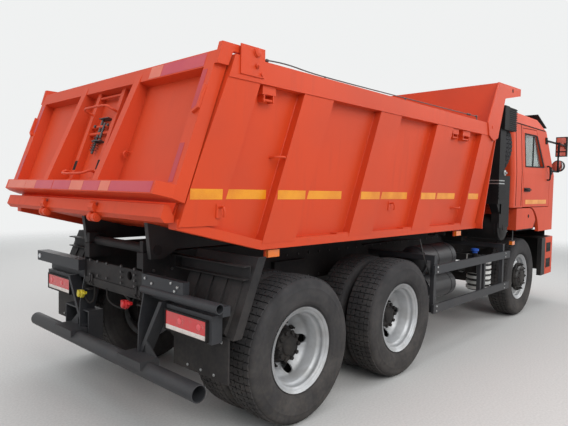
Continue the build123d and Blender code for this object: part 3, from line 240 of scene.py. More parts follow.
def fit(name, body, material, slot, parts, sides=ONE, edge=0.0, smooth=32.0, copies=None, shift=REAR_AXLE_X):
    """Finish a piece from rows of a mesh function and what it takes, along x from the rearmost axle."""
    for side, sign in SIDES if sides == EACH else SIDES[:1]:
        bm = bmesh.new()
        for maker, *given in parts:
            maker(bm, *given)
        if edge:
            soften(bm, edge)
        if sides == BOTH:
            add_mirror_image(bm)
        bmesh.ops.scale(bm, vec=(1, sign, 1), verts=bm.verts)
        bmesh.ops.translate(bm, vec=(shift, 0, 0), verts=bm.verts)
        given = (bm, name.format(side), body.format(side), material)
        if copies:
            repeated(*given, copies[0], step=copies[1], slot=slot, smooth=smooth)
        else:
            piece(*given, slot, smooth)


# Repeats
def repeat_group():
    """Geometry nodes that copy the incoming mesh along a step, about a centre, or both."""
    name = "Tipper repeat"
    if name in bpy.data.node_groups:
        return bpy.data.node_groups[name]
    tree = bpy.data.node_groups.new(name, "GeometryNodeTree")
    face = tree.interface
    face.new_socket("Geometry", in_out="INPUT", socket_type="NodeSocketGeometry")
    for label, kind, value, note in (
            ("Count", "NodeSocketInt", 2, "Number of copies"),
            ("Step", "NodeSocketVector", (0, 0, 0), "Distance from one copy to the next"),
            ("Turn", "NodeSocketVector", (0, 0, 0), "Angle from one copy to the next"),
            ("Centre", "NodeSocketVector", (0, 0, 0), "Centre of the turning"),
            ("Material", "NodeSocketMaterial", None, "Material of the copies")):
        socket = face.new_socket(label, in_out="INPUT", socket_type=kind)
        socket.description = note
        if value is not None:
            socket.default_value = value
    face.new_socket("Geometry", in_out="OUTPUT", socket_type="NodeSocketGeometry")
    given = tree.nodes.new("NodeGroupInput").outputs
    index = put(tree, "GeometryNodeInputIndex").outputs[0]
    place_at = put(tree, "ShaderNodeVectorMath", {0: given["Step"], "Scale": index}, operation="SCALE")
    turn_by = put(tree, "ShaderNodeVectorMath", {0: given["Turn"], "Scale": index}, operation="SCALE")
    points = put(tree, "GeometryNodePoints", {"Count": given["Count"], "Position": place_at.outputs[0]})
    back = put(tree, "ShaderNodeVectorMath", {0: given["Centre"], "Scale": -1.0}, operation="SCALE")
    moved = put(tree, "GeometryNodeTransform",
                {"Geometry": given["Geometry"], "Translation": back.outputs[0]})
    copies = put(tree, "GeometryNodeInstanceOnPoints", {
        "Points": points.outputs[0], "Instance": moved.outputs[0], "Rotation": turn_by.outputs[0]})
    real = put(tree, "GeometryNodeRealizeInstances", {"Geometry": copies.outputs[0]})
    joined = put(tree, "GeometryNodeMergeByDistance", {"Geometry": real.outputs[0], "Distance": 0.00005})
    home = put(tree, "GeometryNodeTransform",
               {"Geometry": joined.outputs[0], "Translation": given["Centre"]})
    painted = put(tree, "GeometryNodeSetMaterial",
                  {"Geometry": home.outputs[0], "Material": given["Material"]})
    tree.links.new(painted.outputs[0], tree.nodes.new("NodeGroupOutput").inputs[0])
    return tree


def repeated(bm, name, body, material, count, step=(0, 0, 0), turn=(0, 0, 0), centre=(0, 0, 0),
             slot="", smooth=32.0):
    """Finish one piece that is made of like copies of its mesh work."""
    unit = bpy.data.objects.new("unit", as_mesh(bm, "unit"))
    bpy.context.scene.collection.objects.link(unit)
    modifier = unit.modifiers.new("Repeat", "NODES")
    modifier.node_group = repeat_group()
    values = {"Count": count, "Step": step, "Turn": turn, "Centre": centre, "Material": PAINTS[material]}
    for item in modifier.node_group.interface.items_tree:
        if item.in_out == "INPUT" and item.name in values:
            modifier[item.identifier] = values[item.name]
    graph = bpy.context.evaluated_depsgraph_get()
    mesh = bpy.data.meshes.new_from_object(unit.evaluated_get(graph))
    unit.modifiers.clear()
    bpy.data.objects.remove(unit)
    mesh.name = name
    return place(mesh, name, body, material, smooth)


# Materials
def feed(tree, sockets, values):
    """Set sockets by name, or link them where the value is another socket."""
    for key, value in values.items():
        if isinstance(value, bpy.types.NodeSocket):
            tree.links.new(value, sockets[key])
        else:
            sockets[key].default_value = value


def put(tree, kind, values=None, **settings):
    """Add a node, with its properties set and its inputs set or linked by name."""
    node = tree.nodes.new(kind)
    for key, value in settings.items():
        setattr(node, key, value)
    feed(tree, node.inputs, values or {})
    return node


def position(tree):
    """Object coordinates."""
    return put(tree, "ShaderNodeTexCoord").outputs["Object"]


def noise(tree, where, scale, detail):
    """A noise value."""
    return put(tree, "ShaderNodeTexNoise", {"Vector": where, "Scale": scale, "Detail": detail}).outputs[0]


def bump(tree, height, strength, depth):
    """A normal raised by a height."""
    values = {"Height": height, "Strength": strength, "Distance": depth}
    return put(tree, "ShaderNodeBump", values).outputs[0]


def shader_group(name, inputs, outputs):
    """A new shader node group with named inputs and outputs."""
    tree = bpy.data.node_groups.new(name, "ShaderNodeTree")
    kinds = {"c": "NodeSocketColor", "f": "NodeSocketFloat", "v": "NodeSocketVector"}
    for label, kind, value in inputs:
        socket = tree.interface.new_socket(label, in_out="INPUT", socket_type=kinds[kind])
        socket.default_value = value
    for label, kind in outputs:
        tree.interface.new_socket(label, in_out="OUTPUT", socket_type=kinds[kind])
    return tree, tree.nodes.new("NodeGroupInput").outputs, tree.nodes.new("NodeGroupOutput").inputs


def ramp(tree, factor, low, high, start=0.0, end=1.0):
    """Map a factor smoothly from low..high to start..end."""
    values = {"Value": factor, "From Min": low, "From Max": high, "To Min": start, "To Max": end}
    return put(tree, "ShaderNodeMapRange", values, interpolation_type="SMOOTHSTEP").outputs[0]


def arithmetic(tree, operation, first, second, clamp=False):
    """One sum of two values."""
    values = {0: first, 1: second}
    return put(tree, "ShaderNodeMath", values, operation=operation, use_clamp=clamp).outputs[0]


def product(tree, first, second, clamp=False):
    """Two values multiplied."""
    return arithmetic(tree, "MULTIPLY", first, second, clamp)


def blend(tree, factor, first, second):
    """Two colours mixed by a factor."""
    return put(tree, "ShaderNodeMix", {0: factor, 6: first, 7: second}, data_type="RGBA").outputs[2]


def weather_group():
    """Fading, runs and road dust over a base colour."""
    name = "Tipper weather"
    if name in bpy.data.node_groups:
        return bpy.data.node_groups[name]
    tree, given, out = shader_group(name, (
        ("Color", "c", (0.5, 0.5, 0.5, 1)), ("Stain", "c", (0.3, 0.3, 0.3, 1)),
        ("Dust Color", "c", (0.2, 0.18, 0.15, 1)), ("Roughness", "f", 0.5), ("Mottle", "f", 0.3),
        ("Scale", "f", 3.0), ("Dust", "f", 0.3), ("Height", "f", 1.0)), (("Color", "c"), ("Roughness", "f")))
    where = position(tree)
    broad = noise(tree, where, given["Scale"], 5.0)
    stretched = put(tree, "ShaderNodeMapping", {"Vector": where, "Scale": (9.0, 9.0, 0.7)}).outputs[0]
    runs = noise(tree, stretched, 1.6, 4.0)
    fine = noise(tree, where, 38.0, 6.0)
    worn = arithmetic(tree, "MAXIMUM", ramp(tree, broad, 0.38, 0.68), ramp(tree, runs, 0.48, 0.72, 0.0, 0.6))
    amount = product(tree, worn, given["Mottle"])
    base = blend(tree, amount, given["Color"], given["Stain"])
    height = put(tree, "ShaderNodeSeparateXYZ", {0: where}).outputs[2]
    low = put(tree, "ShaderNodeMapRange", {"Value": height, "From Min": 0.1, "From Max": given["Height"],
                                           "To Min": 1.0, "To Max": 0.12}).outputs[0]
    speckle = ramp(tree, fine, 0.25, 0.75, 0.45, 1.0)
    clouds = ramp(tree, broad, 0.25, 0.75, 0.4, 1.0)
    dusty = product(tree, product(tree, low, speckle), product(tree, clouds, given["Dust"]), True)
    rough = arithmetic(tree, "ADD", given["Roughness"], product(tree, dusty, 0.35))
    feed(tree, out, {"Color": blend(tree, dusty, base, given["Dust Color"]),
                     "Roughness": arithmetic(tree, "ADD", rough, product(tree, amount, 0.1), True)})
    return tree


def grain_group():
    """A fine uneven surface as a normal."""
    name = "Tipper grain"
    if name in bpy.data.node_groups:
        return bpy.data.node_groups[name]
    tree, given, out = shader_group(
        name, (("Scale", "f", 100.0), ("Strength", "f", 0.1), ("Depth", "f", 0.001)), (("Normal", "v"),))
    height = noise(tree, position(tree), given["Scale"], 3.0)
    feed(tree, out, {"Normal": bump(tree, height, given["Strength"], given["Depth"])})
    return tree


def length_of(tree, first, second):
    """Length of the line whose two square runs are given."""
    squares = arithmetic(tree, "ADD", product(tree, first, first), product(tree, second, second))
    return arithmetic(tree, "SQRT", squares, 0.0)


def hub_group():
    """One inside a radius about an axle along Y, nothing outside."""
    name = "Tipper hub mask"
    if name in bpy.data.node_groups:
        return bpy.data.node_groups[name]
    tree, given, out = shader_group(name, (("Axle X", "f", 0.0), ("Axle Z", "f", 0.5), ("Radius", "f", 0.1)),
                                    (("Mask", "f"),))
    parts = put(tree, "ShaderNodeSeparateXYZ", {0: position(tree)}).outputs
    dx = arithmetic(tree, "SUBTRACT", parts[0], given["Axle X"])
    dz = arithmetic(tree, "SUBTRACT", parts[2], given["Axle Z"])
    feed(tree, out, {"Mask": arithmetic(tree, "LESS_THAN", length_of(tree, dx, dz), given["Radius"])})
    return tree


def new_material(name):
    """An empty node material with its surface shader."""
    material = bpy.data.materials.new("tipper_" + name)
    PAINTS[name] = material
    material.use_nodes = True
    tree = material.node_tree
    tree.nodes.clear()
    shader = tree.nodes.new("ShaderNodeBsdfPrincipled")
    tree.links.new(shader.outputs[0], tree.nodes.new("ShaderNodeOutputMaterial").inputs[0])
    return tree, shader.inputs


# Finishes: colour, stain, roughness, metallic, coat, mottle, scale, dust, height, grain and its strength
DUST = linear(128, 117, 104)
FINISHES = {
    "body_paint": ((206, 66, 26), (180, 64, 40), 0.50, 0.0, 0.05, 0.45, 1.1, 0.10, 1.9, 420.0, 0.05),
    "chassis_paint": ((37, 37, 39), (54, 53, 54), 0.52, 0.0, 0.0, 0.60, 3.2, 0.22, 1.3, 130.0, 0.20),
    "guard_paint": ((44, 46, 50), (56, 57, 60), 0.50, 0.0, 0.0, 0.50, 4.0, 0.16, 1.1, 160.0, 0.15),
    "tank_paint": ((40, 41, 45), (54, 54, 56), 0.42, 0.0, 0.05, 0.50, 3.5, 0.20, 1.2, 120.0, 0.12),
    "cast_block": ((50, 50, 50), (70, 64, 58), 0.70, 0.2, 0.0, 0.70, 9.0, 0.30, 1.5, 90.0, 0.45),
    "tyre": ((52, 52, 54), (70, 70, 72), 0.86, 0.0, 0.0, 0.55, 5.0, 0.28, 1.2, 260.0, 0.30),
    "silver": ((176, 178, 180), (136, 135, 132), 0.40, 0.40, 0.0, 0.40, 9.0, 0.22, 1.1, 340.0, 0.06),
    "hub_black": ((28, 28, 30), (44, 43, 43), 0.48, 0.0, 0.0, 0.60, 11.0, 0.18, 1.1, 200.0, 0.20),
    "chrome": ((214, 216, 218), (188, 188, 186), 0.16, 1.0, 0.0, 0.30, 14.0, 0.05, 1.6, 900.0, 0.03),
    "plastic": ((22, 22, 24), (36, 35, 35), 0.50, 0.0, 0.0, 0.40, 6.0, 0.12, 1.5, 700.0, 0.25),
    "rubber": ((34, 34, 35), (52, 51, 51), 0.80, 0.0, 0.0, 0.50, 7.0, 0.26, 1.1, 300.0, 0.30),
    "interior": ((84, 84, 88), (66, 66, 70), 0.85, 0.0, 0.0, 0.50, 12.0, 0.05, 2.0, 850.0, 0.50),
    "zinc": ((176, 178, 178), (140, 138, 134), 0.42, 0.8, 0.0, 0.50, 30.0, 0.15, 1.6, 260.0, 0.15),
    "dark_steel": ((70, 70, 72), (86, 83, 80), 0.48, 0.6, 0.0, 0.60, 26.0, 0.10, 1.6, 300.0, 0.20),
    "red_cap": ((196, 30, 34), (150, 30, 32), 0.42, 0.0, 0.1, 0.50, 24.0, 0.15, 1.2, 400.0, 0.10),
    "yellow_cap": ((214, 196, 48), (168, 150, 50), 0.45, 0.0, 0.1, 0.50, 24.0, 0.15, 1.2, 400.0, 0.10),
    "blue_cap": ((34, 84, 178), (28, 62, 130), 0.42, 0.0, 0.1, 0.50, 24.0, 0.15, 1.2, 400.0, 0.10),
    "pale_tape": ((216, 116, 92), (206, 102, 84), 0.38, 0.0, 0.12, 0.70, 3.0, 0.08, 1.9, 900.0, 0.10),
    "red_tape": ((190, 68, 78), (182, 60, 78), 0.38, 0.0, 0.12, 0.70, 3.0, 0.08, 1.9, 900.0, 0.10),
    "crimson_tape": ((182, 52, 58), (174, 58, 66), 0.38, 0.0, 0.10, 0.70, 3.0, 0.08, 1.9, 900.0, 0.10),
    "reflector": ((232, 92, 96), (214, 60, 70), 0.18, 0.0, 0.60, 0.30, 30.0, 0.05, 1.2, 900.0, 0.30),
    "white_paint": ((214, 214, 210), (176, 174, 168), 0.46, 0.0, 0.1, 0.50, 9.0, 0.20, 1.0, 300.0, 0.10),
}
# Finishes that shine least, the shine of the others, and the grain of the body paint
MATT = ("plastic", "rubber", "chassis_paint", "hub_black", "tyre")
PAINT_SHINE = 0.28
PAINT_GRAIN = FINISHES["body_paint"][9:]
# The bed's floor: where it begins to rise, its underside there and the angle
FLOOR_KNEE = -0.380
FLOOR_LOW = 1.284
FLOOR_RISE = math.radians(13.6)
# The bumper's corner: station and place across of its middle, and radius of its inner wall
CORNER_MIDDLE = (5.620, 0.940)
INNER_CORNER_R = 0.230
# Node to finish; the lamps, panes and wheel rims have their own materials
NODE_FINISH = (
    ("body_paint", ("bed_sides", "bed_headboard", "tailgate", "cab_shell", "door_left", "door_right",
                    "front_mudguards")),
    ("bed_floor_paint", ("bed_floor",)),
    ("bumper_paint", ("bumper",)),
    ("chassis_paint", ("frame", "subframe", "drive_axles", "bogie_springs", "front_axle", "front_springs",
                       "knuckle_left", "knuckle_right", "rear_mudguards", "hoist_barrel")),
    ("guard_paint", ("side_guards", "underrun_guard")),
    ("tank_paint", ("side_tanks",)),
    ("silencer_paint", ("silencer",)),
    ("cast_block", ("engine",)),
    ("plastic", ("air_cleaner", "cab_trim", "grille", "dashboard")),
    ("interior", ("seats",)),
    ("chrome", ("hoist_stage_1", "hoist_stage_2", "hoist_stage_3", "hoist_stage_4")),
    ("tyre", ("tyre_front_left", "tyre_front_right", "tyres_middle_left", "tyres_middle_right",
              "tyres_rear_left", "tyres_rear_right", "spare_tyre")),
    ("silver", ("spare_rim",)),
    ("rim_front", ("rim_front_left", "rim_front_right")),
    ("rim_middle", ("rims_middle_left", "rims_middle_right")),
    ("rim_rear", ("rims_rear_left", "rims_rear_right")),
    ("glass", ("windscreen", "door_glass_left", "door_glass_right")),
    ("lamp_red", ("rear_lamps",)),
    ("lamp_clear", ("headlamps",)),
)


def weathered(tree, row, colour=None):
    """The weather group with one finish's values, in its own colour or the one given."""
    own, stain, rough, _, _, mottle, scale, dust, height = row[:9]
    return put(tree, "ShaderNodeGroup", {"Color": colour or linear(*own), "Stain": linear(*stain),
                                         "Dust Color": DUST, "Roughness": rough, "Mottle": mottle,
                                         "Scale": scale, "Dust": dust, "Height": height},
               node_tree=weather_group()).outputs


def grained(tree, scale, strength):
    """The grain group's normal."""
    return put(tree, "ShaderNodeGroup", {"Scale": scale, "Strength": strength, "Depth": 0.001},
               node_tree=grain_group()).outputs[0]


def finish_material(name, colour=None):
    """A painted, cast, moulded or rubber surface from the table."""
    tree, shader = new_material(name)
    row = FINISHES[name]
    base = weathered(tree, row, colour)
    feed(tree, shader, {"Base Color": base["Color"], "Roughness": base["Roughness"],
                        "Normal": grained(tree, row[9], row[10]), "Metallic": row[3], "Coat Weight": row[4],
                        "Coat Roughness": 0.22})
    if row[3] < 0.1:
        shader["Specular IOR Level"].default_value = 0.10 if name in MATT else PAINT_SHINE


def two_tone(tree, shader, mask, first, second, grain):
    """Two finishes parted by a mask, on one grain."""
    first, second = weathered(tree, FINISHES[first]), weathered(tree, FINISHES[second])
    feed(tree, shader, {"Base Color": blend(tree, mask, first["Color"], second["Color"]),
                        "Roughness": first["Roughness"], "Normal": grained(tree, *grain)})


def bed_floor_material():
    """Body paint, with the beams below the floor in frame colour."""
    tree, shader = new_material("bed_floor_paint")
    x, y, z = put(tree, "ShaderNodeSeparateXYZ", {0: position(tree)}).outputs
    back = arithmetic(tree, "SUBTRACT", ahead(FLOOR_KNEE), x)
    rise = arithmetic(tree, "MAXIMUM", product(tree, back, math.tan(FLOOR_RISE)), 0.0)
    under = arithmetic(tree, "LESS_THAN", z, arithmetic(tree, "ADD", FLOOR_LOW, rise))
    between = arithmetic(tree, "LESS_THAN", arithmetic(tree, "ABSOLUTE", y, 0.0), 0.500)
    forward = arithmetic(tree, "GREATER_THAN", x, ahead(-0.800))
    mask = product(tree, product(tree, under, between), forward)
    two_tone(tree, shader, mask, "body_paint", "chassis_paint", PAINT_GRAIN)
    shader["Specular IOR Level"].default_value = PAINT_SHINE


def bumper_material():
    """Body paint on the bumper, with its inner walls and its part round the wheel in black."""
    tree, shader = new_material("bumper_paint")
    x, y = put(tree, "ShaderNodeSeparateXYZ", {0: position(tree)}).outputs[:2]
    behind = arithmetic(tree, "LESS_THAN", x, ahead(5.330))
    # Between the outer and the inner corner, whose middle both walls share
    past = arithmetic(tree, "MAXIMUM", arithmetic(tree, "SUBTRACT", x, ahead(CORNER_MIDDLE[0])), 0.0)
    beside = arithmetic(tree, "SUBTRACT", arithmetic(tree, "ABSOLUTE", y, 0.0), CORNER_MIDDLE[1])
    beside = arithmetic(tree, "MAXIMUM", beside, 0.0)
    inside = arithmetic(tree, "LESS_THAN", length_of(tree, past, beside), INNER_CORNER_R)
    mask = arithmetic(tree, "MAXIMUM", behind, inside)
    two_tone(tree, shader, mask, "body_paint", "plastic", PAINT_GRAIN)
    shader["Specular IOR Level"].default_value = PAINT_SHINE


def silencer_material():
    """Light heat shield rings on a dark silencer."""
    tree, shader = new_material("silencer_paint")
    axis = (ahead(3.440), -1.010, 0.0)
    flat = put(tree, "ShaderNodeVectorMath", {0: position(tree), 1: (1.0, 1.0, 0.0)},
               operation="MULTIPLY").outputs[0]
    away = put(tree, "ShaderNodeVectorMath", {0: flat, 1: axis}, operation="DISTANCE").outputs["Value"]
    # Dark within the rings and again on the outlet beyond them
    dark = product(tree, ramp(tree, away, 0.129, 0.134), ramp(tree, away, 0.142, 0.150, 1.0, 0.0))
    dark = arithmetic(tree, "SUBTRACT", 1.0, dark)
    two_tone(tree, shader, dark, "white_paint", "hub_black", (300.0, 0.10))


def rim_material(name, axle_x, radius):
    """Silver rim paint with the black hub in its middle."""
    tree, shader = new_material(name)
    mask = put(tree, "ShaderNodeGroup", {"Axle X": axle_x, "Axle Z": HUB_Z, "Radius": radius},
               node_tree=hub_group()).outputs["Mask"]
    two_tone(tree, shader, mask, "silver", "hub_black", (300.0, 0.08))
    feed(tree, shader, {"Metallic": ramp(tree, mask, 0.0, 1.0, 0.40, 0.0)})


def lens_material(name, top, low, split, ribs):
    """A moulded lens, its upper and lower parts coloured apart, with vertical flutes."""
    tree, shader = new_material(name)
    where = position(tree)
    height = put(tree, "ShaderNodeSeparateXYZ", {0: where}).outputs[2]
    colour = blend(tree, arithmetic(tree, "LESS_THAN", height, split), linear(*top), linear(*low))
    clouds = noise(tree, where, 22.0, 4.0)
    flutes = put(tree, "ShaderNodeTexWave", {"Vector": where, "Scale": ribs}, bands_direction="Y").outputs[1]
    feed(tree, shader, {"Base Color": blend(tree, ramp(tree, clouds, 0.4, 0.75, 0.0, 0.25), colour, DUST),
                        "Roughness": ramp(tree, clouds, 0.3, 0.8, 0.12, 0.32),
                        "Normal": bump(tree, flutes, 0.35, 0.002), "Coat Weight": 0.5})


def tape_material(amber):
    """Reflective tape with its small cells."""
    tree, shader = new_material("tape")
    where = position(tree)
    cells = put(tree, "ShaderNodeTexVoronoi", {"Vector": where, "Scale": 210.0}).outputs[0]
    shade = noise(tree, where, 5.0, 5.0)
    colour = blend(tree, ramp(tree, shade, 0.35, 0.7), amber, linear(214, 122, 20))
    shine = ramp(tree, cells, 0.0, 0.6, 0.3, 0.0)
    feed(tree, shader, {"Base Color": blend(tree, shine, colour, linear(240, 186, 70)),
                        "Roughness": ramp(tree, shade, 0.3, 0.8, 0.28, 0.45),
                        "Normal": bump(tree, cells, 0.2, 0.0006)})


def filmed_material(name, scale, detail, film_from, clean, filmed, rough, others):
    """Glass or mirror with a film of dust: two colours and two roughnesses by one noise."""
    tree, shader = new_material(name)
    film = noise(tree, position(tree), scale, detail)
    colour = blend(tree, ramp(tree, film, *film_from), linear(*clean), linear(*filmed))
    feed(tree, shader, {"Base Color": colour, "Roughness": ramp(tree, film, 0.3, 0.8, *rough), **others})


def paint_nodes(settings):
    """Make every material and give each CAD node its own."""
    colours = {"body_paint": (*settings.body_colour, 1.0), "chassis_paint": (*settings.frame_colour, 1.0)}
    for name in FINISHES:
        finish_material(name, colours.get(name))
    for name, axle_x, radius in (("rim_front", FRONT_AXLE_X, 0.187), ("rim_middle", MID_AXLE_X, 0.141),
                                 ("rim_rear", REAR_AXLE_X, 0.141)):
        rim_material(name, axle_x, radius)
    bed_floor_material()
    bumper_material()
    silencer_material()
    lens_material("lamp_red", (206, 40, 44), (226, 214, 206), 0.745, 16.0)
    lens_material("lamp_clear", (214, 220, 222), (214, 220, 222), 0.0, 22.0)
    lens_material("lamp_amber", (226, 112, 18), (226, 112, 18), 0.0, 40.0)
    tape_material((*settings.tape_colour, 1.0))
    filmed_material("glass", 3.5, 6.0, (0.35, 0.75), (196, 206, 204), (168, 176, 172), (0.02, 0.09),
                    {"Metallic": 0.0, "Transmission Weight": 0.9, "IOR": 1.45})
    filmed_material("mirror", 14.0, 5.0, (0.4, 0.8), (214, 218, 220), (188, 190, 190), (0.04, 0.12),
                    {"Metallic": 1.0})
    for material, nodes in NODE_FINISH:
        for name in nodes:
            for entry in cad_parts[name].material_slots:
                entry.material = PAINTS[material]


# Wheels
# Wheel stations: axle, tyre centres across, outer face of the disc and the nuts' circle
TWIN = ((TWIN_INNER_Y, TWIN_OUTER_Y), TWIN_OUTER_Y - 0.123, 0.158)
STATIONS = (
    ("front", "wheel_front_", "rim_front_", FRONT_AXLE_X, (FRONT_WHEEL_Y,), FRONT_WHEEL_Y + 0.092, 0.168),
    ("middle", "wheels_middle_", "rims_middle_", MID_AXLE_X, *TWIN),
    ("rear", "wheels_rear_", "rims_rear_", REAR_AXLE_X, *TWIN),
)
# Half section of the tyre's side: across and radius, from the bead out to the shoulder
SIDEWALL = (
    (0.1055, 0.2785), (0.1055, 0.302), (0.1105, 0.311), (0.1165, 0.313), (0.1220, 0.320), (0.1275, 0.333),
    (0.1300, 0.337), (0.1306, 0.344), (0.1350, 0.362), (0.1385, 0.388), (0.1400, 0.412), (0.1397, 0.428),
    (0.1405, 0.431), (0.1402, 0.438), (0.1385, 0.441), (0.1375, 0.458), (0.1340, 0.476), (0.1255, 0.4915),
    (0.1120, 0.4985),
)
TREAD_ROWS = ((-0.0905, 0.0350, 0.5), (-0.0460, 0.0360, -1.0), (0.0, 0.0380, 1.0), (0.0460, 0.0360, -1.0),
              (0.0905, 0.0350, 0.5))
TREAD_BASE = 0.5015


def tread_top(across):
    """Radius of the tread's running face."""
    return TYRE_R - 0.006 * (across / 0.108) ** 2


def tyre_slice(bm, centre, across, pitch):
    """One pitch of a tyre turned about a line through centre: carcass and five tread blocks."""
    centre, across = Vector(centre), Vector(across).normalized()
    up = Vector((0, 0, 1))
    ahead_of = up.cross(across)

    def at(y, radius, angle):
        """A point of the tyre: across, out and round."""
        return centre + across * y + (up * math.cos(angle) + ahead_of * math.sin(angle)) * radius

    outline = [*SIDEWALL, (0.06, TREAD_BASE), (-0.06, TREAD_BASE)] + [(-y, r) for y, r in SIDEWALL[::-1]]
    angles = (-pitch / 2, 0.0, pitch / 2)
    grid = [[bm.verts.new(at(y, r, a)) for y, r in outline] for a in angles]
    for row, following in zip(grid, grid[1:]):
        for k in range(len(outline)):
            n = (k + 1) % len(outline)
            bm.faces.new((row[k], following[k], following[n], row[n]))
    for middle, width, skew in TREAD_ROWS:
        reach = pitch * 0.43
        slant = 0.005 * skew
        corners = []
        for y, a, shift in ((-1, -1, -1), (1, -1, -1), (1, 0, 1), (1, 1, -1), (-1, 1, -1), (-1, 0, 1)):
            corners.append((middle + y * width / 2 + shift * slant, a * reach))
        top = [bm.verts.new(at(y, tread_top(y), a)) for y, a in corners]
        low = [bm.verts.new(at(y * 1.008, TREAD_BASE - 0.004, a * 1.04)) for y, a in corners]
        bm.faces.new(top)
        for k in range(6):
            n = (k + 1) % 6
            bm.faces.new((top[k], top[n], low[n], low[k]))


def make_tyres(settings):
    """Road and spare tyres with their tread, in place of the plain ones."""
    pitches = settings.tread_pitches
    pitch = 2 * math.pi / pitches
    for side, sign in SIDES:
        for _, body, rims, axle_x, tracks, *_ in STATIONS:
            bm = bmesh.new()
            for y in tracks:
                tyre_slice(bm, (axle_x, sign * y, HUB_Z), LEFT, pitch)
            node = rims.replace("rim", "tyre") + side
            obj = repeated(bm, "treaded_" + node, body + side, "tyre", pitches, turn=(0, pitch, 0),
                           centre=(axle_x, 0, HUB_Z), slot="tyre", smooth=38.0)
            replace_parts(obj, node)
    bm = bmesh.new()
    tyre_slice(bm, SPARE, AHEAD, pitch)
    obj = repeated(bm, "treaded_spare_tyre", "chassis", "tyre", pitches, turn=(pitch, 0, 0), centre=SPARE,
                   slot="tyre", smooth=38.0)
    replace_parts(obj, "spare_tyre")


RIM_HALF = 0.114
RIM_INNER_R = 0.262
# Radius of a rolled lip, and how far it stands in from the rim's edge
LIP_R = 0.280
LIP_IN = 0.016
HUB_R = 0.140
# A vertex counts as lying on a face within this distance
NEAR = 0.001
# Hub covers: distance out from the disc, and radius
FRONT_HUB = ((0, 0.187), (0.012, 0.187), (0.017, 0.182), (0.019, 0.145), (0.024, 0.136), (0.048, 0.130),
             (0.052, 0.120), (0.054, 0.082), (0.060, 0.074), (0.064, 0.0))
TWIN_HUB = ((0, 0.139), (0.024, 0.139), (0.030, 0.132), (0.034, 0.118), (0.060, 0.112), (0.090, 0.108),
            (0.104, 0.108), (0.110, 0.102), (0.113, 0.070), (0.124, 0.062), (0.128, 0.050), (0.129, 0.0))
NUTS_ROUND = 10
# Nuts: seat off the disc, height and stud; hub bolts: circle, seat off the disc, size and height
FRONT_NUTS = ((0.017, 0.022, 0.014), (0.100, 0.051, 0.020, 0.012))
TWIN_NUTS = ((0.0, 0.030, 0.020), (0.098, 0.1085, 0.028, 0.018))


def shaped_rims(node, axle_x, tracks, disc_face):
    """A copy of a station's rims, their lips rolled in and the twin wheels' hub cut off at the disc."""
    bm = bmesh.new()
    bm.from_mesh(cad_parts[node].data)
    bmesh.ops.remove_doubles(bm, verts=bm.verts, dist=0.00005)
    hub = []
    for vert in bm.verts:
        dx, dz, across = vert.co.x - axle_x, vert.co.z - HUB_Z, abs(vert.co.y)
        radius = math.hypot(dx, dz)
        for track in tracks:
            if abs(abs(across - track) - RIM_HALF) < NEAR and abs(radius - RIM_INNER_R) < NEAR:
                grow = LIP_R / radius
                inward = -LIP_IN if across > track else LIP_IN
                vert.co = (axle_x + dx * grow, math.copysign(across + inward, vert.co.y), HUB_Z + dz * grow)
        if len(tracks) > 1 and radius < HUB_R + 0.0005 and across > disc_face + 0.01:
            hub.append(vert)
    bmesh.ops.delete(bm, geom=hub, context="VERTS")
    bmesh.ops.holes_fill(bm, edges=[e for e in bm.edges if e.is_boundary])
    return bm


def make_hubs(settings):
    """Rims, wheel nuts and hub covers."""
    for side, sign in SIDES:
        for station, body, rims, axle_x, tracks, face, ring in STATIONS:
            body, rims, twin = body + side, rims + side, len(tracks) > 1
            bm = shaped_rims(rims, axle_x, tracks, face)
            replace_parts(piece(bm, "shaped_" + rims, body, "rim_" + station, "rim_silver", 30.0), rims)
            (seat, tall, stud), (circle, bolt_seat, bolt, bolt_tall) = TWIN_NUTS if twin else FRONT_NUTS
            for name, radius, out, sizes in (("nuts", ring, seat, (settings.wheel_nut, tall, stud)),
                                             ("hub_bolts", circle, bolt_seat, (bolt, bolt_tall))):
                bm = bmesh.new()
                nut(bm, (axle_x + radius, sign * (face + out), HUB_Z), (0, sign, 0), *sizes)
                repeated(bm, f"{name}_{station}_{side}", body, "hub_black", NUTS_ROUND,
                         turn=(0, math.radians(360 / NUTS_ROUND), 0), centre=(axle_x, 0, HUB_Z),
                         slot="chassis_paint", smooth=25.0)
            bm = bmesh.new()
            profile = TWIN_HUB if twin else FRONT_HUB
            lathe(bm, (axle_x, sign * (face - 0.001), HUB_Z), (0, sign, 0), profile, 40)
            piece(bm, f"hub_cap_{station}_{side}", body, "hub_black", "chassis_paint", 30.0)


# Bed
# Reflective tape: rear and front station ahead of the rearmost axle, and whether it lies on a rib
TAPE_RUNS = ((-0.955, -0.725, True), (-0.676, -0.305, False), (-0.262, 0.010, True), (0.057, 0.507, False),
             (0.672, 0.938, True), (0.985, 1.490, False), (1.630, 1.908, True), (1.960, 2.465, False),
             (2.650, 2.905, True))
TAPE_MIDDLE = 1.588
TAPE_THICK = 0.0012
TAPE_LIFT = 0.0004


def make_tape(settings):
    """Reflective tape along the bed's sides."""
    z0, z1 = TAPE_MIDDLE - settings.tape_width / 2, TAPE_MIDDLE + settings.tape_width / 2
    parts = []
    for rear, front, on_rib in TAPE_RUNS:
        face = rib_y if on_rib else skin_y
        low, high = face(z0) + TAPE_LIFT, face(z1) + TAPE_LIFT
        parts.append((prism, ((rear, low, z0), (front, low, z0), (front, high, z1), (rear, high, z1)),
                      (0, TAPE_THICK, 0)))
    fit("bed_tape", "bed", "tape", "lamp_clear", parts, BOTH)


# Tailgate fittings
GATE_OUT = gate(0, 0, 1) - gate(0, 0, 0)
LADDER_Y = 0.173
LADDER_OUT = -0.028
LADDER_ROD = 0.152
BEAM_PROUD = 0.0685
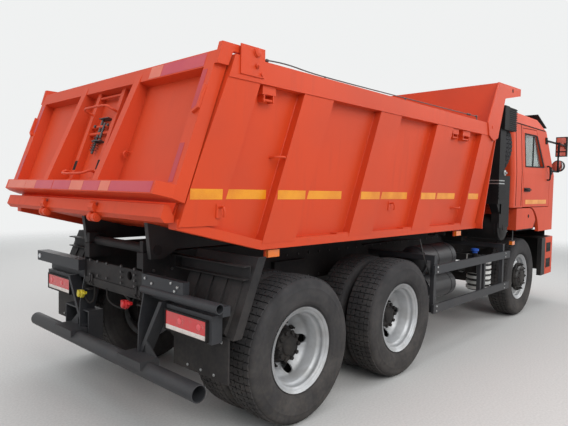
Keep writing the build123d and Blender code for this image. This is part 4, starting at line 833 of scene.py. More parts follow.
# Lowest and highest edge of the tape on the lower and on the top beam
LOW_BEAM = (0.118, 0.182)
TOP_BEAM = (0.916, 1.000)
# Red and pale tape on the lower beam: from and to across
RED_RUNS = ((-1.080, -0.620), (-0.490, -0.270), (-0.080, 0.190), (0.200, 0.500))
PALE_RUNS = ((-0.616, -0.494), (-0.266, -0.084), (0.504, 0.700), (0.705, 1.060))


def gate_strip(bm, near, far, low, high, out=0.0003):
    """A thin strip on a face of the gate: from and to across, from and to up, and how far out."""
    prism(bm, (gate(near, low, out), gate(far, low, out), gate(far, high, out), gate(near, high, out)),
          GATE_OUT * TAPE_THICK)


def ladder_rung(bm, up, rise):
    """A bent rung between the ladder's plates."""
    bends = ((1.0, 0.0, LADDER_OUT - 0.004), (1.0, 0.0, 0.020), (0.86, rise, 0.045), (-0.70, rise, 0.045),
             (-1.0, 0.0, 0.012), (-1.0, 0.0, LADDER_OUT - 0.004))
    pipe(bm, [gate(across * LADDER_Y, up + lift, out) for across, lift, out in bends], 0.0085, 10)


def latch_plate(bm, up):
    """A small plate that carries the latch rods."""
    corners = ((0.060, -0.076), (-0.075, -0.076), (-0.075, -0.030), (0.060, -0.030))
    prism(bm, [gate(across, up, out) for across, out in corners], gate(0, up + 0.006, 0) - gate(0, up, 0))


def latch_spring(bm):
    """A coil round the longer latch rod."""
    coil = []
    for step in range(61):
        turn = 2 * math.pi * step / 10
        coil.append(gate(0.030 + 0.019 * math.cos(turn), 0.450 + 0.0019 * step,
                         -0.050 + 0.019 * math.sin(turn)))
    pipe(bm, coil, 0.0032, 6, False)


def on_gate(name, material, slot, parts, sides=ONE, edge=0.0):
    """One piece of the tailgate, its parts given by points of the gate."""
    fit(name, "tailgate", material, slot, parts, sides, edge, shift=0.0)


def make_gate(settings):
    """Ladder rods, latch gear, hooks, guard strips and tape of the tailgate."""
    bars = [(rod, gate(LADDER_ROD, up, out), gate(-LADDER_ROD, up, out), radius)
            for up, out, radius in ((0.870, -0.040, 0.010), (0.640, -0.050, 0.011), (0.585, -0.050, 0.011))]
    on_gate("gate_ladder_rods", "body_paint", "body_paint",
            bars + [(ladder_rung, 0.735, 0.012), (ladder_rung, 0.275, -0.030)])
    on_gate("gate_latch_gear", "dark_steel", "chassis_paint", (
        (rod, gate(0.030, 0.700, -0.050), gate(0.030, 0.430, -0.050), 0.009),
        (rod, gate(-0.045, 0.660, -0.036), gate(-0.045, 0.540, -0.036), 0.008),
        (latch_plate, 0.695), (latch_plate, 0.520), (latch_spring,),
        (nut, gate(0.090, 0.640, -0.040), GATE_OUT, 0.020, 0.012),
        (nut, gate(-0.100, 0.640, -0.040), GATE_OUT, 0.020, 0.012)))
    # Small hooks beside the middle channels
    hook = ((0.430, -0.080), (0.430, -0.045), (0.412, -0.034), (0.394, -0.045), (0.390, -0.058))
    on_gate("gate_hooks", "body_paint", "body_paint", (
        (pipe, [gate(0.455, up, out) for up, out in hook], 0.006),
        (lathe, gate(0.455, 0.430, -0.0755), GATE_OUT, ((0, 0.016), (0.003, 0.016)), 14)), BOTH)
    # Guard strips at the posts' outer edges
    guard = ((1.150, 0.610), (1.193, 0.640), (1.193, 0.780), (1.178, 0.780), (1.174, 0.650), (1.142, 0.625))
    on_gate("gate_guards", "body_paint", "body_paint",
            ((prism, [gate(across, up, 0.0) for across, up in guard], GATE_OUT * 0.018),), BOTH, 0.0015)
    for name, runs, top, slot in (("red", RED_RUNS, (-1.100, -0.660), "lamp_red"),
                                  ("pale", PALE_RUNS, (-0.655, -0.520), "lamp_clear")):
        strips = [(gate_strip, *run, *LOW_BEAM, BEAM_PROUD + 0.0003) for run in runs]
        on_gate(f"gate_{name}_tape", f"{name}_tape", slot, strips + [(gate_strip, *top, *TOP_BEAM)])
    on_gate("gate_post_tape", "crimson_tape", "lamp_red", (
        (gate_strip, 1.108, 1.152, 0.205, 0.435), (gate_strip, 1.108, 1.152, 0.645, 0.890)), BOTH)
    # Rubber pads over the slots of the ladder's plates
    on_gate("ladder_pads", "rubber", "black_plastic",
            ((gate_strip, 0.153, 0.193, 0.300, 0.370, LADDER_OUT),), BOTH)


# Bed fittings
RIB_REARS = (-0.370, 0.560, 1.520, 2.540)
RIB_LEAN = 0.3153
WELD_HEIGHTS = (1.330, 2.250)
PIN_FACE = 1.2455
# Stations and lowest edge of the side markers
MARKERS = ((-0.297, -0.192, 1.178), (2.490, 2.600, 1.172))


def hook_eye(bm, station, height, face):
    """A rope hook welded to a face of the bed's side: a plate with a bent rod."""
    block(bm, (station - 0.022, face - 0.002, height - 0.040),
          (station + 0.022, face + 0.006, height + 0.040))
    pipe(bm, [(station, face + out, height + up)
              for out, up in ((0.004, 0.020), (0.040, 0.024), (0.052, -0.004), (0.046, -0.034))], 0.0075)


def loop_hook(bm, station, height):
    """A loop hook on the side sheet beside a rib."""
    face = skin_y(height)
    pipe(bm, [(station + along, face + out, height + up) for along, out, up in (
        (-0.055, -0.002, 0), (-0.045, 0.045, 0.004), (0, 0.070, 0.006), (0.045, 0.045, 0.004),
        (0.055, -0.002, 0))], 0.008)


def lashing_bracket(bm, rear, front):
    """A bracket below the top rail, with a bar between its two cheeks."""
    y = skin_y(2.2)
    block(bm, (rear, y, 2.205), (front, y + 0.055, 2.2595))
    rod(bm, (rear + 0.010, y + 0.040, 2.172), (front - 0.010, y + 0.040, 2.172), 0.009)
    for x in (rear + 0.012, front - 0.022):
        block(bm, (x, y, 2.160), (x + 0.010, y + 0.052, 2.206))


def claw_barrel(bm, across):
    """Barrel and washers of a claw under the gate."""
    lathe(bm, (-1.108, across - 0.050, 1.425), LEFT,
          ((0, 0.018), (0.006, 0.020), (0.007, 0.029), (0.036, 0.029), (0.038, 0.024), (0.062, 0.024),
           (0.064, 0.029), (0.093, 0.029), (0.094, 0.020), (0.100, 0.018)), 28)
    for reach in (-0.0345, 0.0305):
        lathe(bm, (-1.098, across + reach, 1.474), LEFT, ((0, 0.020), (0.004, 0.018)), 20)


def make_bed(settings):
    """Hooks, lashing brackets, cable, side markers and hinge bolts of the bed."""
    fit("bed_hooks", "bed", "body_paint", "body_paint", (
        (hook_eye, -0.745, 1.490, rib_y(1.490)), (hook_eye, 1.211, 1.499, skin_y(1.499)),
        (loop_hook, -0.240, 1.826), (loop_hook, 2.455, 1.465), (lashing_bracket, -0.445, -0.330),
        (lashing_bracket, 2.170, 2.300), (lashing_bracket, 2.400, 2.570)), BOTH, 0.0008)
    # Doubling plates at the ribs' feet on the ledge
    fit("ledge_plates", "bed", "body_paint", "body_paint",
        [(block, (rear - 0.150, 1.092, LEDGE_TOP - 0.001), (rear + 0.030, 1.160, LEDGE_TOP + 0.009))
         for rear in RIB_REARS[1:]], BOTH, 0.001)
    # Hinge pins' washers and bolts
    fit("hinge_bolts", "bed", "body_paint", "body_paint", (
        (lathe, (-0.520, PIN_FACE, 2.432), LEFT,
         ((0, 0.030), (0.004, 0.030), (0.005, 0.024), (0.012, 0.024), (0.014, 0.018)), 28),
        (nut, (-0.522, PIN_FACE, 2.352), LEFT, 0.026, 0.014, 0.008),
        (nut, (-0.482, PIN_FACE, 2.310), LEFT, 0.018, 0.010)), BOTH, smooth=28.0)
    # Steel cable along the right-hand rail, with its clamps and posts
    clamp = ((0, 0.009), (0.002, 0.011), (0.016, 0.011), (0.018, 0.009))
    cable = [(pipe, ((-0.535, -1.215, 2.404), (-0.234, -1.205, 2.425), (0.177, -1.200, 2.415),
                     (1.274, -1.200, 2.424), (2.487, -1.200, 2.438), (2.765, -1.200, 2.443)), 0.0045)]
    for x, y, z in ((-0.500, -1.206, 2.407), (-0.455, -1.206, 2.411), (-0.410, -1.206, 2.414),
                    (2.530, -1.200, 2.439), (2.575, -1.200, 2.440), (2.740, -1.200, 2.443)):
        cable.append((lathe, (x, y, z), (1, 0.03, 0.07), clamp, 10))
    for x, y, z in ((-0.535, -1.215, 2.408), (0.177, -1.200, 2.419), (1.274, -1.200, 2.428),
                    (2.765, -1.200, 2.447)):
        cable.append((rod, (x, y, 2.390), (x, y, z), 0.006))
    fit("rail_cable", "bed", "dark_steel", "chassis_paint", cable)
    # Amber side markers on brackets under the ledge
    fit("side_markers", "bed", "lamp_amber", "lamp_clear",
        [(block, (rear, 1.120, low), (front, 1.146, low + 0.048)) for rear, front, low in MARKERS],
        BOTH, 0.004)
    fit("side_marker_plates", "bed", "body_paint", "body_paint",
        [(block, (rear - 0.006, 1.108, low - 0.005), (front + 0.006, 1.121, LEDGE_BOTTOM + 0.002))
         for rear, front, low in MARKERS], BOTH, 0.001)
    fit("claw_pins", "bed", "body_paint", "body_paint", ((claw_barrel, -0.384), (claw_barrel, 0.376)),
        smooth=28.0)
    # Weld beads where the ribs meet the sheet
    fit("rib_welds", "bed", "body_paint", "body_paint",
        [(rod, *[(rear + (z - LEDGE_TOP) * RIB_LEAN, skin_y(z) + 0.001, z) for z in WELD_HEIGHTS], 0.0045, 6)
         for rear in RIB_REARS], BOTH)


# Rear fittings
# Outer edges of the rear lamp's lens: from and to across, lowest and highest
REAR_LENS = (0.705, 1.120, 0.715, 0.835)


def frame_round(bm, x0, x1, box, lap, cover):
    """Four bars round an upright opening, outside it by lap and over it by cover."""
    y0, y1, z0, z1 = box
    for near, far, low, high in ((y0 - lap, y1 + lap, z1 - cover, z1 + lap),
                                 (y0 - lap, y1 + lap, z0 - lap, z0 + cover),
                                 (y0 - lap, y0 + cover, z0, z1), (y1 - cover, y1 + lap, z0, z1)):
        block(bm, (x0, near, low), (x1, far, high))


def coupling_stay(bm, y):
    """A bracket with its bolt for an air coupling."""
    block(bm, (-0.786, y - 0.012, 0.850), (-0.776, y + 0.012, 0.935))
    nut(bm, (-0.785, y, 0.870), REAR, 0.016, 0.010)


def make_rear(settings):
    """Couplings, bolts, hoses and lamp frames at the rear of the frame."""
    # Bolt heads round the crossmember's hole
    heads = [(y, z) for y in (-0.330, -0.150) for z in (0.930, 0.970, 1.010, 1.050)]
    heads += [(y, z) for y in (0.060, 0.200, 0.320) for z in (0.935, 1.045)]
    fit("crossmember_bolts", "chassis", "dark_steel", "chassis_paint",
        [(nut, (-0.781, *head), REAR, 0.020, 0.012) for head in heads], smooth=28.0)
    # Bolts of the right-hand lamp bar
    heads = ((-0.480, 1.010), (-0.560, 0.985), (-0.780, 1.018), (-0.850, 1.000), (-0.820, 0.972))
    fit("bracket_bolts", "chassis", "zinc", "chassis_paint",
        [(nut, (-0.791, *head), REAR, 0.018, 0.010) for head in heads], smooth=28.0)
    # Air couplings: red and yellow caps with their wings, and the hoses behind
    cap = ((0, 0.018), (0.010, 0.030), (0.030, 0.032), (0.036, 0.026), (0.050, 0.026), (0.056, 0.020))
    for name, y, z in (("red", -0.290, 0.800), ("yellow", 0.385, 0.770)):
        fit(f"coupling_{name}", "chassis", f"{name}_cap", "lamp_red", (
            (lathe, (-0.800, y, z), (-0.9, 0.15, 0.10), cap),
            (block, (-0.834, y - 0.060, z + 0.008), (-0.810, y + 0.060, z + 0.026))), edge=0.003)
    fit("air_hoses", "chassis", "rubber", "black_plastic", (
        (pipe, ((-0.800, -0.290, 0.800), (-0.770, -0.240, 0.815), (-0.755, -0.120, 0.850),
                (-0.740, 0.020, 0.870), (-0.730, 0.100, 0.905)), 0.009, 10),
        (pipe, ((-0.800, 0.385, 0.770), (-0.785, 0.375, 0.720), (-0.765, 0.360, 0.700),
                (-0.740, 0.345, 0.740), (-0.735, 0.335, 0.905)), 0.009, 10),
        (pipe, ((-0.760, 0.100, 0.905), (-0.775, 0.060, 0.780), (-0.770, -0.080, 0.740),
                (-0.750, -0.200, 0.760), (-0.735, -0.300, 0.905)), 0.007, 10)))
    fit("coupling_brackets", "chassis", "chassis_paint", "chassis_paint",
        [(coupling_stay, y) for y in (-0.395, -0.345, 0.300, 0.335)]
        + [(block, (-0.779, -0.420, 0.860), (-0.770, 0.420, 0.905))], edge=0.001)
    fit("rear_lamp_frames", "chassis", "plastic", "black_plastic",
        ((frame_round, -0.784, -0.764, REAR_LENS, 0.008, 0.002),), BOTH, 0.0008)
    fit("rear_reflectors", "chassis", "reflector", "lamp_red",
        [(lathe, (-0.7805, y, 0.787), REAR, ((0, 0.020), (0.002, 0.019), (0.004, 0.010)))
         for y in (0.855, 1.050)], BOTH)
    # Marker lamp on the left bar's end
    fit("end_lamp", "chassis", "lamp_clear", "lamp_clear",
        ((lathe, (-0.829, 1.180, 0.992), REAR, ((0, 0.020), (0.008, 0.020), (0.012, 0.012)), 20),))
    heads = ((0.700, 0.680), (0.980, 0.700), (1.130, 0.690), (0.790, 0.470), (0.930, 0.470), (1.060, 0.470))
    fit("flap_bolts", "chassis", "zinc", "chassis_paint",
        [(nut, (-0.663, *head), REAR, 0.016, 0.008) for head in heads], BOTH, smooth=28.0)


# Side fittings
# Rear and front station, right and left face of the intake column
COLUMN = (3.420, 3.590, -1.215, -0.940)


def strap(bm, centre, axis, radius, width, lift=0.004):
    """A band round a drum."""
    lathe(bm, Vector(centre) - Vector(axis) * width / 2, axis,
          ((0, radius), (0.0005, radius + lift), (width - 0.0005, radius + lift), (width, radius)), 40)


def ring_round(bm, height, tall, proud):
    """A band round the intake column: its lowest edge, height and thickness."""
    x0, x1, y0, y1 = COLUMN
    for low, high in (((x0 - proud, y0 - proud), (x1 + proud, y0)),
                      ((x0 - proud, y1), (x1 + proud, y1 + proud)),
                      ((x0 - proud, y0 - proud), (x0, y1 + proud)),
                      ((x1, y0 - proud), (x1 + proud, y1 + proud))):
        block(bm, (*low, height), (*high, height + tall))


def make_flank(settings):
    """Tank straps, caps, drain cocks, stays and duct straps along the frame."""
    drums = [(x, -0.900, 0.920, 0.150) for x in (2.060, 2.330, 2.640)]
    drums += [(x, -0.960, 0.640, 0.130) for x in (2.060, 2.560)]
    fit("tank_straps", "chassis", "tank_paint", "tank_paint",
        [(strap, (x, y, z), AHEAD, radius, 0.030) for x, y, z, radius in drums])
    plugs = []
    for x, y, z, low in ((2.780, -0.900, 0.920, 0.774), (2.700, -0.960, 0.640, 0.514)):
        plugs.append((nut, (x - 0.004, y, z), AHEAD, 0.032, 0.016, 0.010))
        plugs.append((nut, (x - 0.300, y, low), (0, 0, -1), 0.022, 0.018, 0.012))
    fit("tank_plugs", "chassis", "zinc", "chassis_paint", plugs, smooth=28.0)
    # Pressure pipe between the tanks
    fit("tank_pipes", "chassis", "plastic", "black_plastic", (
        (pipe, ((2.785, -0.900, 0.920), (2.850, -0.900, 0.915), (2.870, -0.930, 0.800),
                (2.780, -0.960, 0.660), (2.705, -0.960, 0.640)), 0.006),))
    # Fluid box on its arm, its neck and its blue cap
    fit("blue_cap", "chassis", "blue_cap", "tank_paint", (
        (lathe, (3.235, -1.040, 0.925), UP,
         ((0, 0.030), (0.020, 0.030), (0.024, 0.044), (0.046, 0.044), (0.051, 0.036)), 28),))
    fit("fluid_box", "chassis", "plastic", "black_plastic", (
        (rod, (3.235, -1.040, 0.800), (3.235, -1.040, 0.930), 0.030, 20),
        (block, (3.150, -1.100, 0.700), (3.295, -0.965, 0.830)),
        (block, (3.200, -0.970, 0.760), (3.240, -0.430, 0.800))), edge=0.006)
    # Cap and straps of the fuel tank on the left
    fit("fuel_cap", "chassis", "plastic", "black_plastic", (
        (lathe, (2.700, 0.800, 0.948), UP,
         ((0, 0.060), (0.012, 0.060), (0.016, 0.052), (0.034, 0.050), (0.040, 0.042)), 32),))
    fit("fuel_tank_straps", "chassis", "chassis_paint", "chassis_paint",
        [(block, (x - 0.020, 1.0985, 0.560), (x + 0.020, 1.1045, 0.835)) for x in (2.370, 3.180)],
        edge=0.001)
    # Stay rod ahead of the middle wheels
    fit("stay_rod", "chassis", "dark_steel", "chassis_paint", (
        (pipe, ((1.821, -1.090, 1.164), (1.900, -1.100, 0.980), (2.102, -1.120, 0.643)), 0.006),
        (pipe, ((1.821, -1.090, 1.164), (1.815, -0.900, 1.150), (1.815, -0.425, 1.060)), 0.008)))
    fit("guard_bolts", "chassis", "zinc", "chassis_paint",
        [(nut, (x, 1.2145, z), LEFT, 0.016, 0.009) for x in (1.955, 3.725)
         for z in (0.475, 0.520, 0.855, 0.900)],
        BOTH, smooth=28.0)
    # Air cleaner: end cover and straps
    fit("cleaner_cover", "chassis", "plastic", "black_plastic", (
        (lathe, (3.690, -1.168, 1.215), RIGHT,
         ((0, 0.160), (0.006, 0.162), (0.012, 0.156), (0.014, 0.120), (0.020, 0.110), (0.020, 0.040),
          (0.026, 0.034)), 40),
        (strap, (3.690, -1.130, 1.215), LEFT, 0.155, 0.020, 0.005),
        (strap, (3.690, -0.800, 1.215), LEFT, 0.155, 0.030, 0.005)))
    # Intake: a column behind the spare wheel, its louvred head, straps, ribs and clamp
    fit("intake_column", "chassis", "plastic", "black_plastic", (
        (block, (3.420, -1.215, 1.500), (3.590, -0.940, 2.380)),
        (prism, ((3.550, -1.190, 1.380), (3.590, -1.190, 1.380), (3.590, -1.190, 1.520),
                 (3.430, -1.190, 1.520)),
         (0, 0.095, 0)),
        (block, (3.452, -1.246, 2.372), (3.590, -0.960, 2.650)),
        (block, (3.560, -1.240, 2.376), (3.835, -1.192, 2.646))), edge=0.012)
    fit("intake_louvres", "chassis", "plastic", "black_plastic",
        ((block, (3.462, -1.2485, 2.390), (3.842, -1.200, 2.402)),), edge=0.002, copies=(11, (0, 0, 0.0235)))
    fit("duct_straps", "chassis", "zinc", "chrome_rod",
        ((ring_round, 1.735, 0.012, 0.003), (ring_round, 1.770, 0.012, 0.003)), edge=0.0005)
    fit("duct_ribs", "chassis", "plastic", "black_plastic", ((ring_round, 1.560, 0.018, 0.006),), edge=0.002,
        copies=(4, (0, 0, 0.042)))
    fit("duct_clamp", "chassis", "zinc", "chrome_rod", (
        (lathe, (3.585, -1.214, 1.870), RIGHT,
         ((0, 0.034), (0.010, 0.034), (0.014, 0.026), (0.014, 0.014), (0.030, 0.012))),))


# Cab fittings
# Height, front station ahead of the rearmost axle, half width and front corner radius of the cab
CAB_ROWS = ((1.110, 5.850, 1.200, 0.300), (1.900, 5.850, 1.200, 0.300), (2.520, 5.520, 1.165, 0.290),
            (2.660, 5.260, 1.110, 0.270), (2.760, 4.950, 0.900, 0.240))
WINDOW = ((4.375, 1.990), (4.375, 2.400), (4.810, 2.410), (5.090, 2.010))
PILLAR = ((5.100, 2.000), (5.150, 2.000), (4.870, 2.420), (4.822, 2.420))
SCREEN = ((-1.040, 1.960), (1.040, 1.960), (0.980, 2.480), (-0.980, 2.480))
SIDE_FACE = 1.200
MIRROR_X = 5.720
MIRROR_Y = 1.245
BEZEL_X = 5.8785


def cab_row(height):
    """Front station, half width and corner radius of the cab at a height."""
    for low, high in zip(CAB_ROWS, CAB_ROWS[1:]):
        if height <= high[0]:
            t = max(0.0, (height - low[0]) / (high[0] - low[0]))
            return [a + (b - a) * t for a, b in zip(low, high)][1:]
    return CAB_ROWS[-1][1:]


def cab_front(across, height, out=0.0):
    """A point on the cab's front face, its corners rounded."""
    front, half, radius = cab_row(height)
    over = min(radius, max(0.0, abs(across) - (half - radius)))
    return Vector((front - radius + math.sqrt(radius ** 2 - over ** 2) + out, across, height))


def on_side(station, height, out=0.0):
    """A point on the cab's side."""
    return Vector((station, cab_row(height)[1] + out, height))


def window_band(bm, width, thick):
    """A flat frame round the window in the cab's side, just outside its rim."""
    middle = [sum(c) / len(WINDOW) for c in zip(*WINDOW)]
    wide = [(x + math.copysign(width, x - middle[0]), z + math.copysign(width, z - middle[1]))
            for x, z in WINDOW]
    for i, corner in enumerate(WINDOW):
        j = (i + 1) % len(WINDOW)
        prism(bm, [on_side(*p, 0.0004) for p in (corner, WINDOW[j], wide[j], wide[i])], (0, thick, 0))


def mirror_plate(bm, station, height, tall):
    """A bracket plate of a mirror arm, with its two nuts."""
    y = cab_row(height)[1]
    block(bm, (station - 0.020, y - 0.004, height - tall), (station + 0.045, y + 0.012, height + tall))
    for lift in (-0.7, 0.7):
        nut(bm, (station + 0.012, y + 0.011, height + lift * tall), LEFT, 0.014, 0.008)


def wiper(bm, y):
    """Spindle, arm and blade of a wiper."""
    foot = cab_front(y, 1.900, 0.012) + Vector((0, 0, 0.015))
    rod(bm, foot - Vector((0.020, 0, 0)), foot + Vector((0.010, 0, 0)), 0.016, 14)
    tip = cab_front(y + 0.300, 2.150, 0.016)
    pipe(bm, [foot, (foot + tip) / 2 + Vector((0.012, 0, 0)), tip], 0.006)
    blade = [cab_front(y + 0.300 + reach, 2.150 + reach * 0.55, 0.004)
             for reach in (-0.280, -0.140, 0.0, 0.140, 0.280)]
    pipe(bm, blade, 0.007, 6)
    rod(bm, tip, blade[2], 0.006, 8)


def bumper_step(bm, low):
    """A step in the bumper's side: a dark frame, its plate and five treads."""
    rear, front, top, thick = 5.375, 5.565, low + 0.132, 0.012
    for start, stop, foot, head, proud in (
            (rear, front, low, low + thick, 0.004), (rear, front, top - thick, top, 0.004),
            (rear, rear + thick, low, top, 0.004), (front - thick, front, low, top, 0.004),
            (rear + thick, front - thick, low + thick, top - thick, 0.0015)):
        block(bm, (start, 1.1985, foot), (stop, 1.1995 + proud, head))
    for k in range(5):
        x = rear + 0.024 + 0.032 * k
        block(bm, (x, 1.1995, low + 0.016), (x + 0.012, 1.2025, low + 0.060))


def make_cab_sides():
    """Mirrors, handles, door tape, window frames, and black rods of painted shade along the seams of the
    cab's sides.
    """
    x, y = MIRROR_X, MIRROR_Y
    fit("mirror_faces", "cab", "mirror", "chrome_rod", (
        (block, (x - 0.003, y - 0.062, 2.270), (x + 0.002, y + 0.062, 2.468)),
        (block, (x - 0.003, y - 0.062, 2.202), (x + 0.002, y + 0.062, 2.252)),
        (lathe, (x + 0.002, 1.210, 2.050), REAR,
         ((0, 0.076), (0.003, 0.076), (0.006, 0.060), (0.008, 0.0)), 32)),
        BOTH, smooth=40.0)
    fit("mirror_dividers", "cab", "plastic", "black_plastic",
        ((block, (x - 0.004, y - 0.074, 2.254), (x + 0.001, y + 0.074, 2.268)),), BOTH, 0.001)
    y = SIDE_FACE
    fit("door_handle_{}", "door_{}", "plastic", "black_plastic", (
        (block, (4.330, y, 1.655), (4.560, y + 0.006, 1.705)),
        (pipe, ((4.345, y, 1.680), (4.360, y + 0.030, 1.680), (4.500, y + 0.032, 1.680), (4.515, y, 1.680)),
         0.010, 10),
        (lathe, (4.540, y + 0.005, 1.680), LEFT, ((0, 0.013), (0.004, 0.012)), 18)), EACH, 0.002)
    fit("grab_handle_{}", "door_{}", "plastic", "black_plastic", (
        (pipe, ((5.243, y, 2.020), (5.246, y + 0.040, 2.005), (5.266, y + 0.040, 1.845), (5.270, y, 1.830)),
         0.011, 10),), EACH)
    y += TAPE_LIFT
    fit("door_tape_{}", "door_{}", "tape", "lamp_clear", (
        (prism, ((4.400, y, 1.492), (5.260, y, 1.492), (5.260, y, 1.548), (4.400, y, 1.548)),
         (0, TAPE_THICK, 0)),), EACH)
    # Window frame, the bar across each door window, and black rods of painted shade along the seams of the
    # cab's sides
    fit("window_seal_{}", "door_{}", "rubber", "black_plastic", (
        (window_band, 0.016, 0.004), (prism, [on_side(*p, 0.0006) for p in PILLAR], (0, 0.005, 0)),
        (block, (4.725, 1.1635, 2.000), (4.755, 1.171, 2.404))), EACH, 0.0008)
    # Black rods of painted shade: the dark grooves of the side seams and the door gap, and the shade under
    # the drip rail, whose rod is a real lip
    seams = [(pipe, [on_side(station, z) for z in (1.470, 1.900, 2.515)], 0.004, 6, False)
             for station in (4.040, 4.236)]
    seams.append((pipe, [on_side(x, 2.519, 0.001) for x in (3.975, 4.300, 4.700, 5.200)], 0.007, 8, False))
    fit("cab_seams", "cab", "rubber", "black_plastic", seams, BOTH)
    fit("mirror_brackets", "cab", "plastic", "black_plastic",
        ((mirror_plate, 5.430, 1.965, 0.055), (mirror_plate, 5.235, 2.385, 0.045)), BOTH, 0.001)


def make_cab(settings):
    """Handles, mirror faces, wipers, seals, lamps and steps round the cab, and the last bolts."""
    make_cab_sides()
    # Windscreen seal and wipers
    rim = []
    for (y0, z0), (y1, z1) in zip(SCREEN, SCREEN[1:] + SCREEN[:1]):
        rim += [cab_front(y0 + (y1 - y0) * k / 12, z0 + (z1 - z0) * k / 12, -0.004) for k in range(12)]
    fit("screen_seal", "cab", "rubber", "black_plastic", ((pipe, rim + rim[:1], 0.013, 8, False),))
    fit("wipers", "cab", "plastic", "black_plastic", ((wiper, -0.720), (wiper, 0.080)))
    # Lock on the wheel arch, arch lips and the amber lamp behind the front wheel
    fit("arch_lips", "chassis", "rubber", "black_plastic", (
        (lathe, (4.560, 1.1945, 1.330), LEFT, ((0, 0.024), (0.003, 0.024), (0.004, 0.018), (0.002, 0.010))),
        (pipe, ((4.112, 1.190, 1.158), (4.758, 1.190, 1.158), (4.850, 1.190, 1.258)), 0.009, 8, False)),
        BOTH)
    fit("arch_lamps", "chassis", "lamp_amber", "lamp_clear",
        ((block, (4.045, 1.140, 0.975), (4.130, 1.180, 1.025)),), BOTH, 0.006)
    fit("arch_lamp_stays", "chassis", "dark_steel", "chassis_paint", (
        (pipe, ((4.125, 1.150, 1.165), (4.125, 1.150, 1.060), (4.100, 1.150, 1.020)), 0.007),
        (block, (4.040, 1.136, 1.022), (4.135, 1.184, 1.028))), BOTH)
    fit("bumper_steps", "chassis", "plastic", "black_plastic", ((bumper_step, 0.560), (bumper_step, 0.790)),
        BOTH, 0.0006)
    # Splash tray and rubber curtain in the bumper, clear of the cab's arms
    tray = []
    for rear, near, far in ((5.300, -1.090, -0.540), (5.510, -0.380, 0.380), (5.300, 0.540, 1.090)):
        tray += [(block, (rear, near, 0.992), (5.822, far, 0.998)),
                 (block, (5.640, near, 0.996), (5.650, far, 1.088))]
    fit("bumper_tray", "chassis", "rubber", "black_plastic", tray, edge=0.001)
    # Headlamp bezels with their reflectors
    fit("headlamp_bezels", "chassis", "plastic", "black_plastic",
        ((frame_round, BEZEL_X - 0.010, BEZEL_X + 0.0012, (0.568, 0.872, 0.648, 0.792), 0.008, 0.0),), BOTH)
    fit("headlamp_reflectors", "chassis", "mirror", "chrome_rod",
        [(lathe, (BEZEL_X - 0.0005, y, 0.720), AHEAD,
          ((0, 0.058), (0.0010, 0.058), (0.0012, 0.052), (0.0004, 0.030)), 32) for y in (0.640, 0.790)],
        BOTH)
    # Pins of the corner plates at the head of the bed, and their holes as black discs of painted shade
    fit("headboard_pins", "bed", "body_paint", "body_paint", (
        (lathe, (3.652, 1.2492, 2.840), LEFT,
         ((0, 0.030), (0.0010, 0.030), (0.0010, 0.016), (0.0004, 0.015))),
        (lathe, (3.090, 1.2495, 2.359), LEFT, ((0, 0.022), (0.004, 0.020), (0.006, 0.014)), 20)), BOTH)
    # Black discs of painted shade for the dark inside of each hole
    fit("horn_holes", "bed", "rubber", "body_paint",
        ((lathe, (3.652, 1.2495, 2.840), LEFT, ((0, 0.022), (0.0012, 0.022))),), BOTH)
    # Clamp of the spare wheel
    x, y, z = SPARE
    fit("spare_clamp", "chassis", "dark_steel", "chassis_paint", (
        (lathe, (x - 0.092, y, z), REAR, ((0, 0.120), (0.010, 0.120), (0.014, 0.112), (0.014, 0.040),
                                          (0.030, 0.036)), 32),
        (nut, (x - 0.120, y, z), REAR, 0.046, 0.026, 0.020)), smooth=28.0, shift=0.0)
    # Bolt heads along the frame rails
    for level, height in (("upper", 1.045), ("lower", 0.830)):
        fit(f"frame_bolts_{level}_{{}}", "chassis", "dark_steel", "chassis_paint",
            ((nut, (-0.700, 0.4295, height), LEFT, 0.020, 0.011),), EACH, smooth=28.0,
            copies=(34, (0.150, 0, 0)))


# Stage
CAMERA_AT = (-5.0131, -3.4829, 1.6274)
CAMERA_YAW, CAMERA_PITCH, CAMERA_ROLL = 0.7541, -0.0473, 0.0206
GROUND_REACH = 17.0
# Soft lights: place, size, power, aim
LIGHTS = (
    ((-5.0, -10.0, 8.0), 8.0, 860.0, (0.0, 0.0, 1.2)),
    ((9.0, -8.0, 8.0), 8.0, 520.0, (1.0, 0.0, 1.2)),
    ((-11.0, 2.0, 6.0), 7.0, 300.0, (-1.0, 0.0, 1.2)),
    ((3.0, 9.0, 8.0), 9.0, 450.0, (0.0, 0.0, 1.0)),
    ((0.0, 0.0, 12.0), 9.0, 620.0, (0.0, 0.0, 1.0)),
)


def make_camera(settings):
    """The camera where the photograph was taken from."""
    data = bpy.data.cameras.new("camera")
    data.lens = settings.lens
    data.sensor_width = 36.0
    camera = bpy.data.objects.new("camera", data)
    level = math.cos(CAMERA_PITCH)
    forward = Vector((level * math.cos(CAMERA_YAW), level * math.sin(CAMERA_YAW), math.sin(CAMERA_PITCH)))
    right = Vector((math.sin(CAMERA_YAW), -math.cos(CAMERA_YAW), 0.0))
    up = right.cross(forward)
    c, s = math.cos(CAMERA_ROLL), math.sin(CAMERA_ROLL)
    x_axis, y_axis = right * c + up * s, up * c - right * s
    turn = Matrix((x_axis, y_axis, -forward)).transposed()
    camera.matrix_world = Matrix.Translation(CAMERA_AT) @ turn.to_4x4()
    bpy.context.scene.collection.objects.link(camera)
    bpy.context.scene.camera = camera


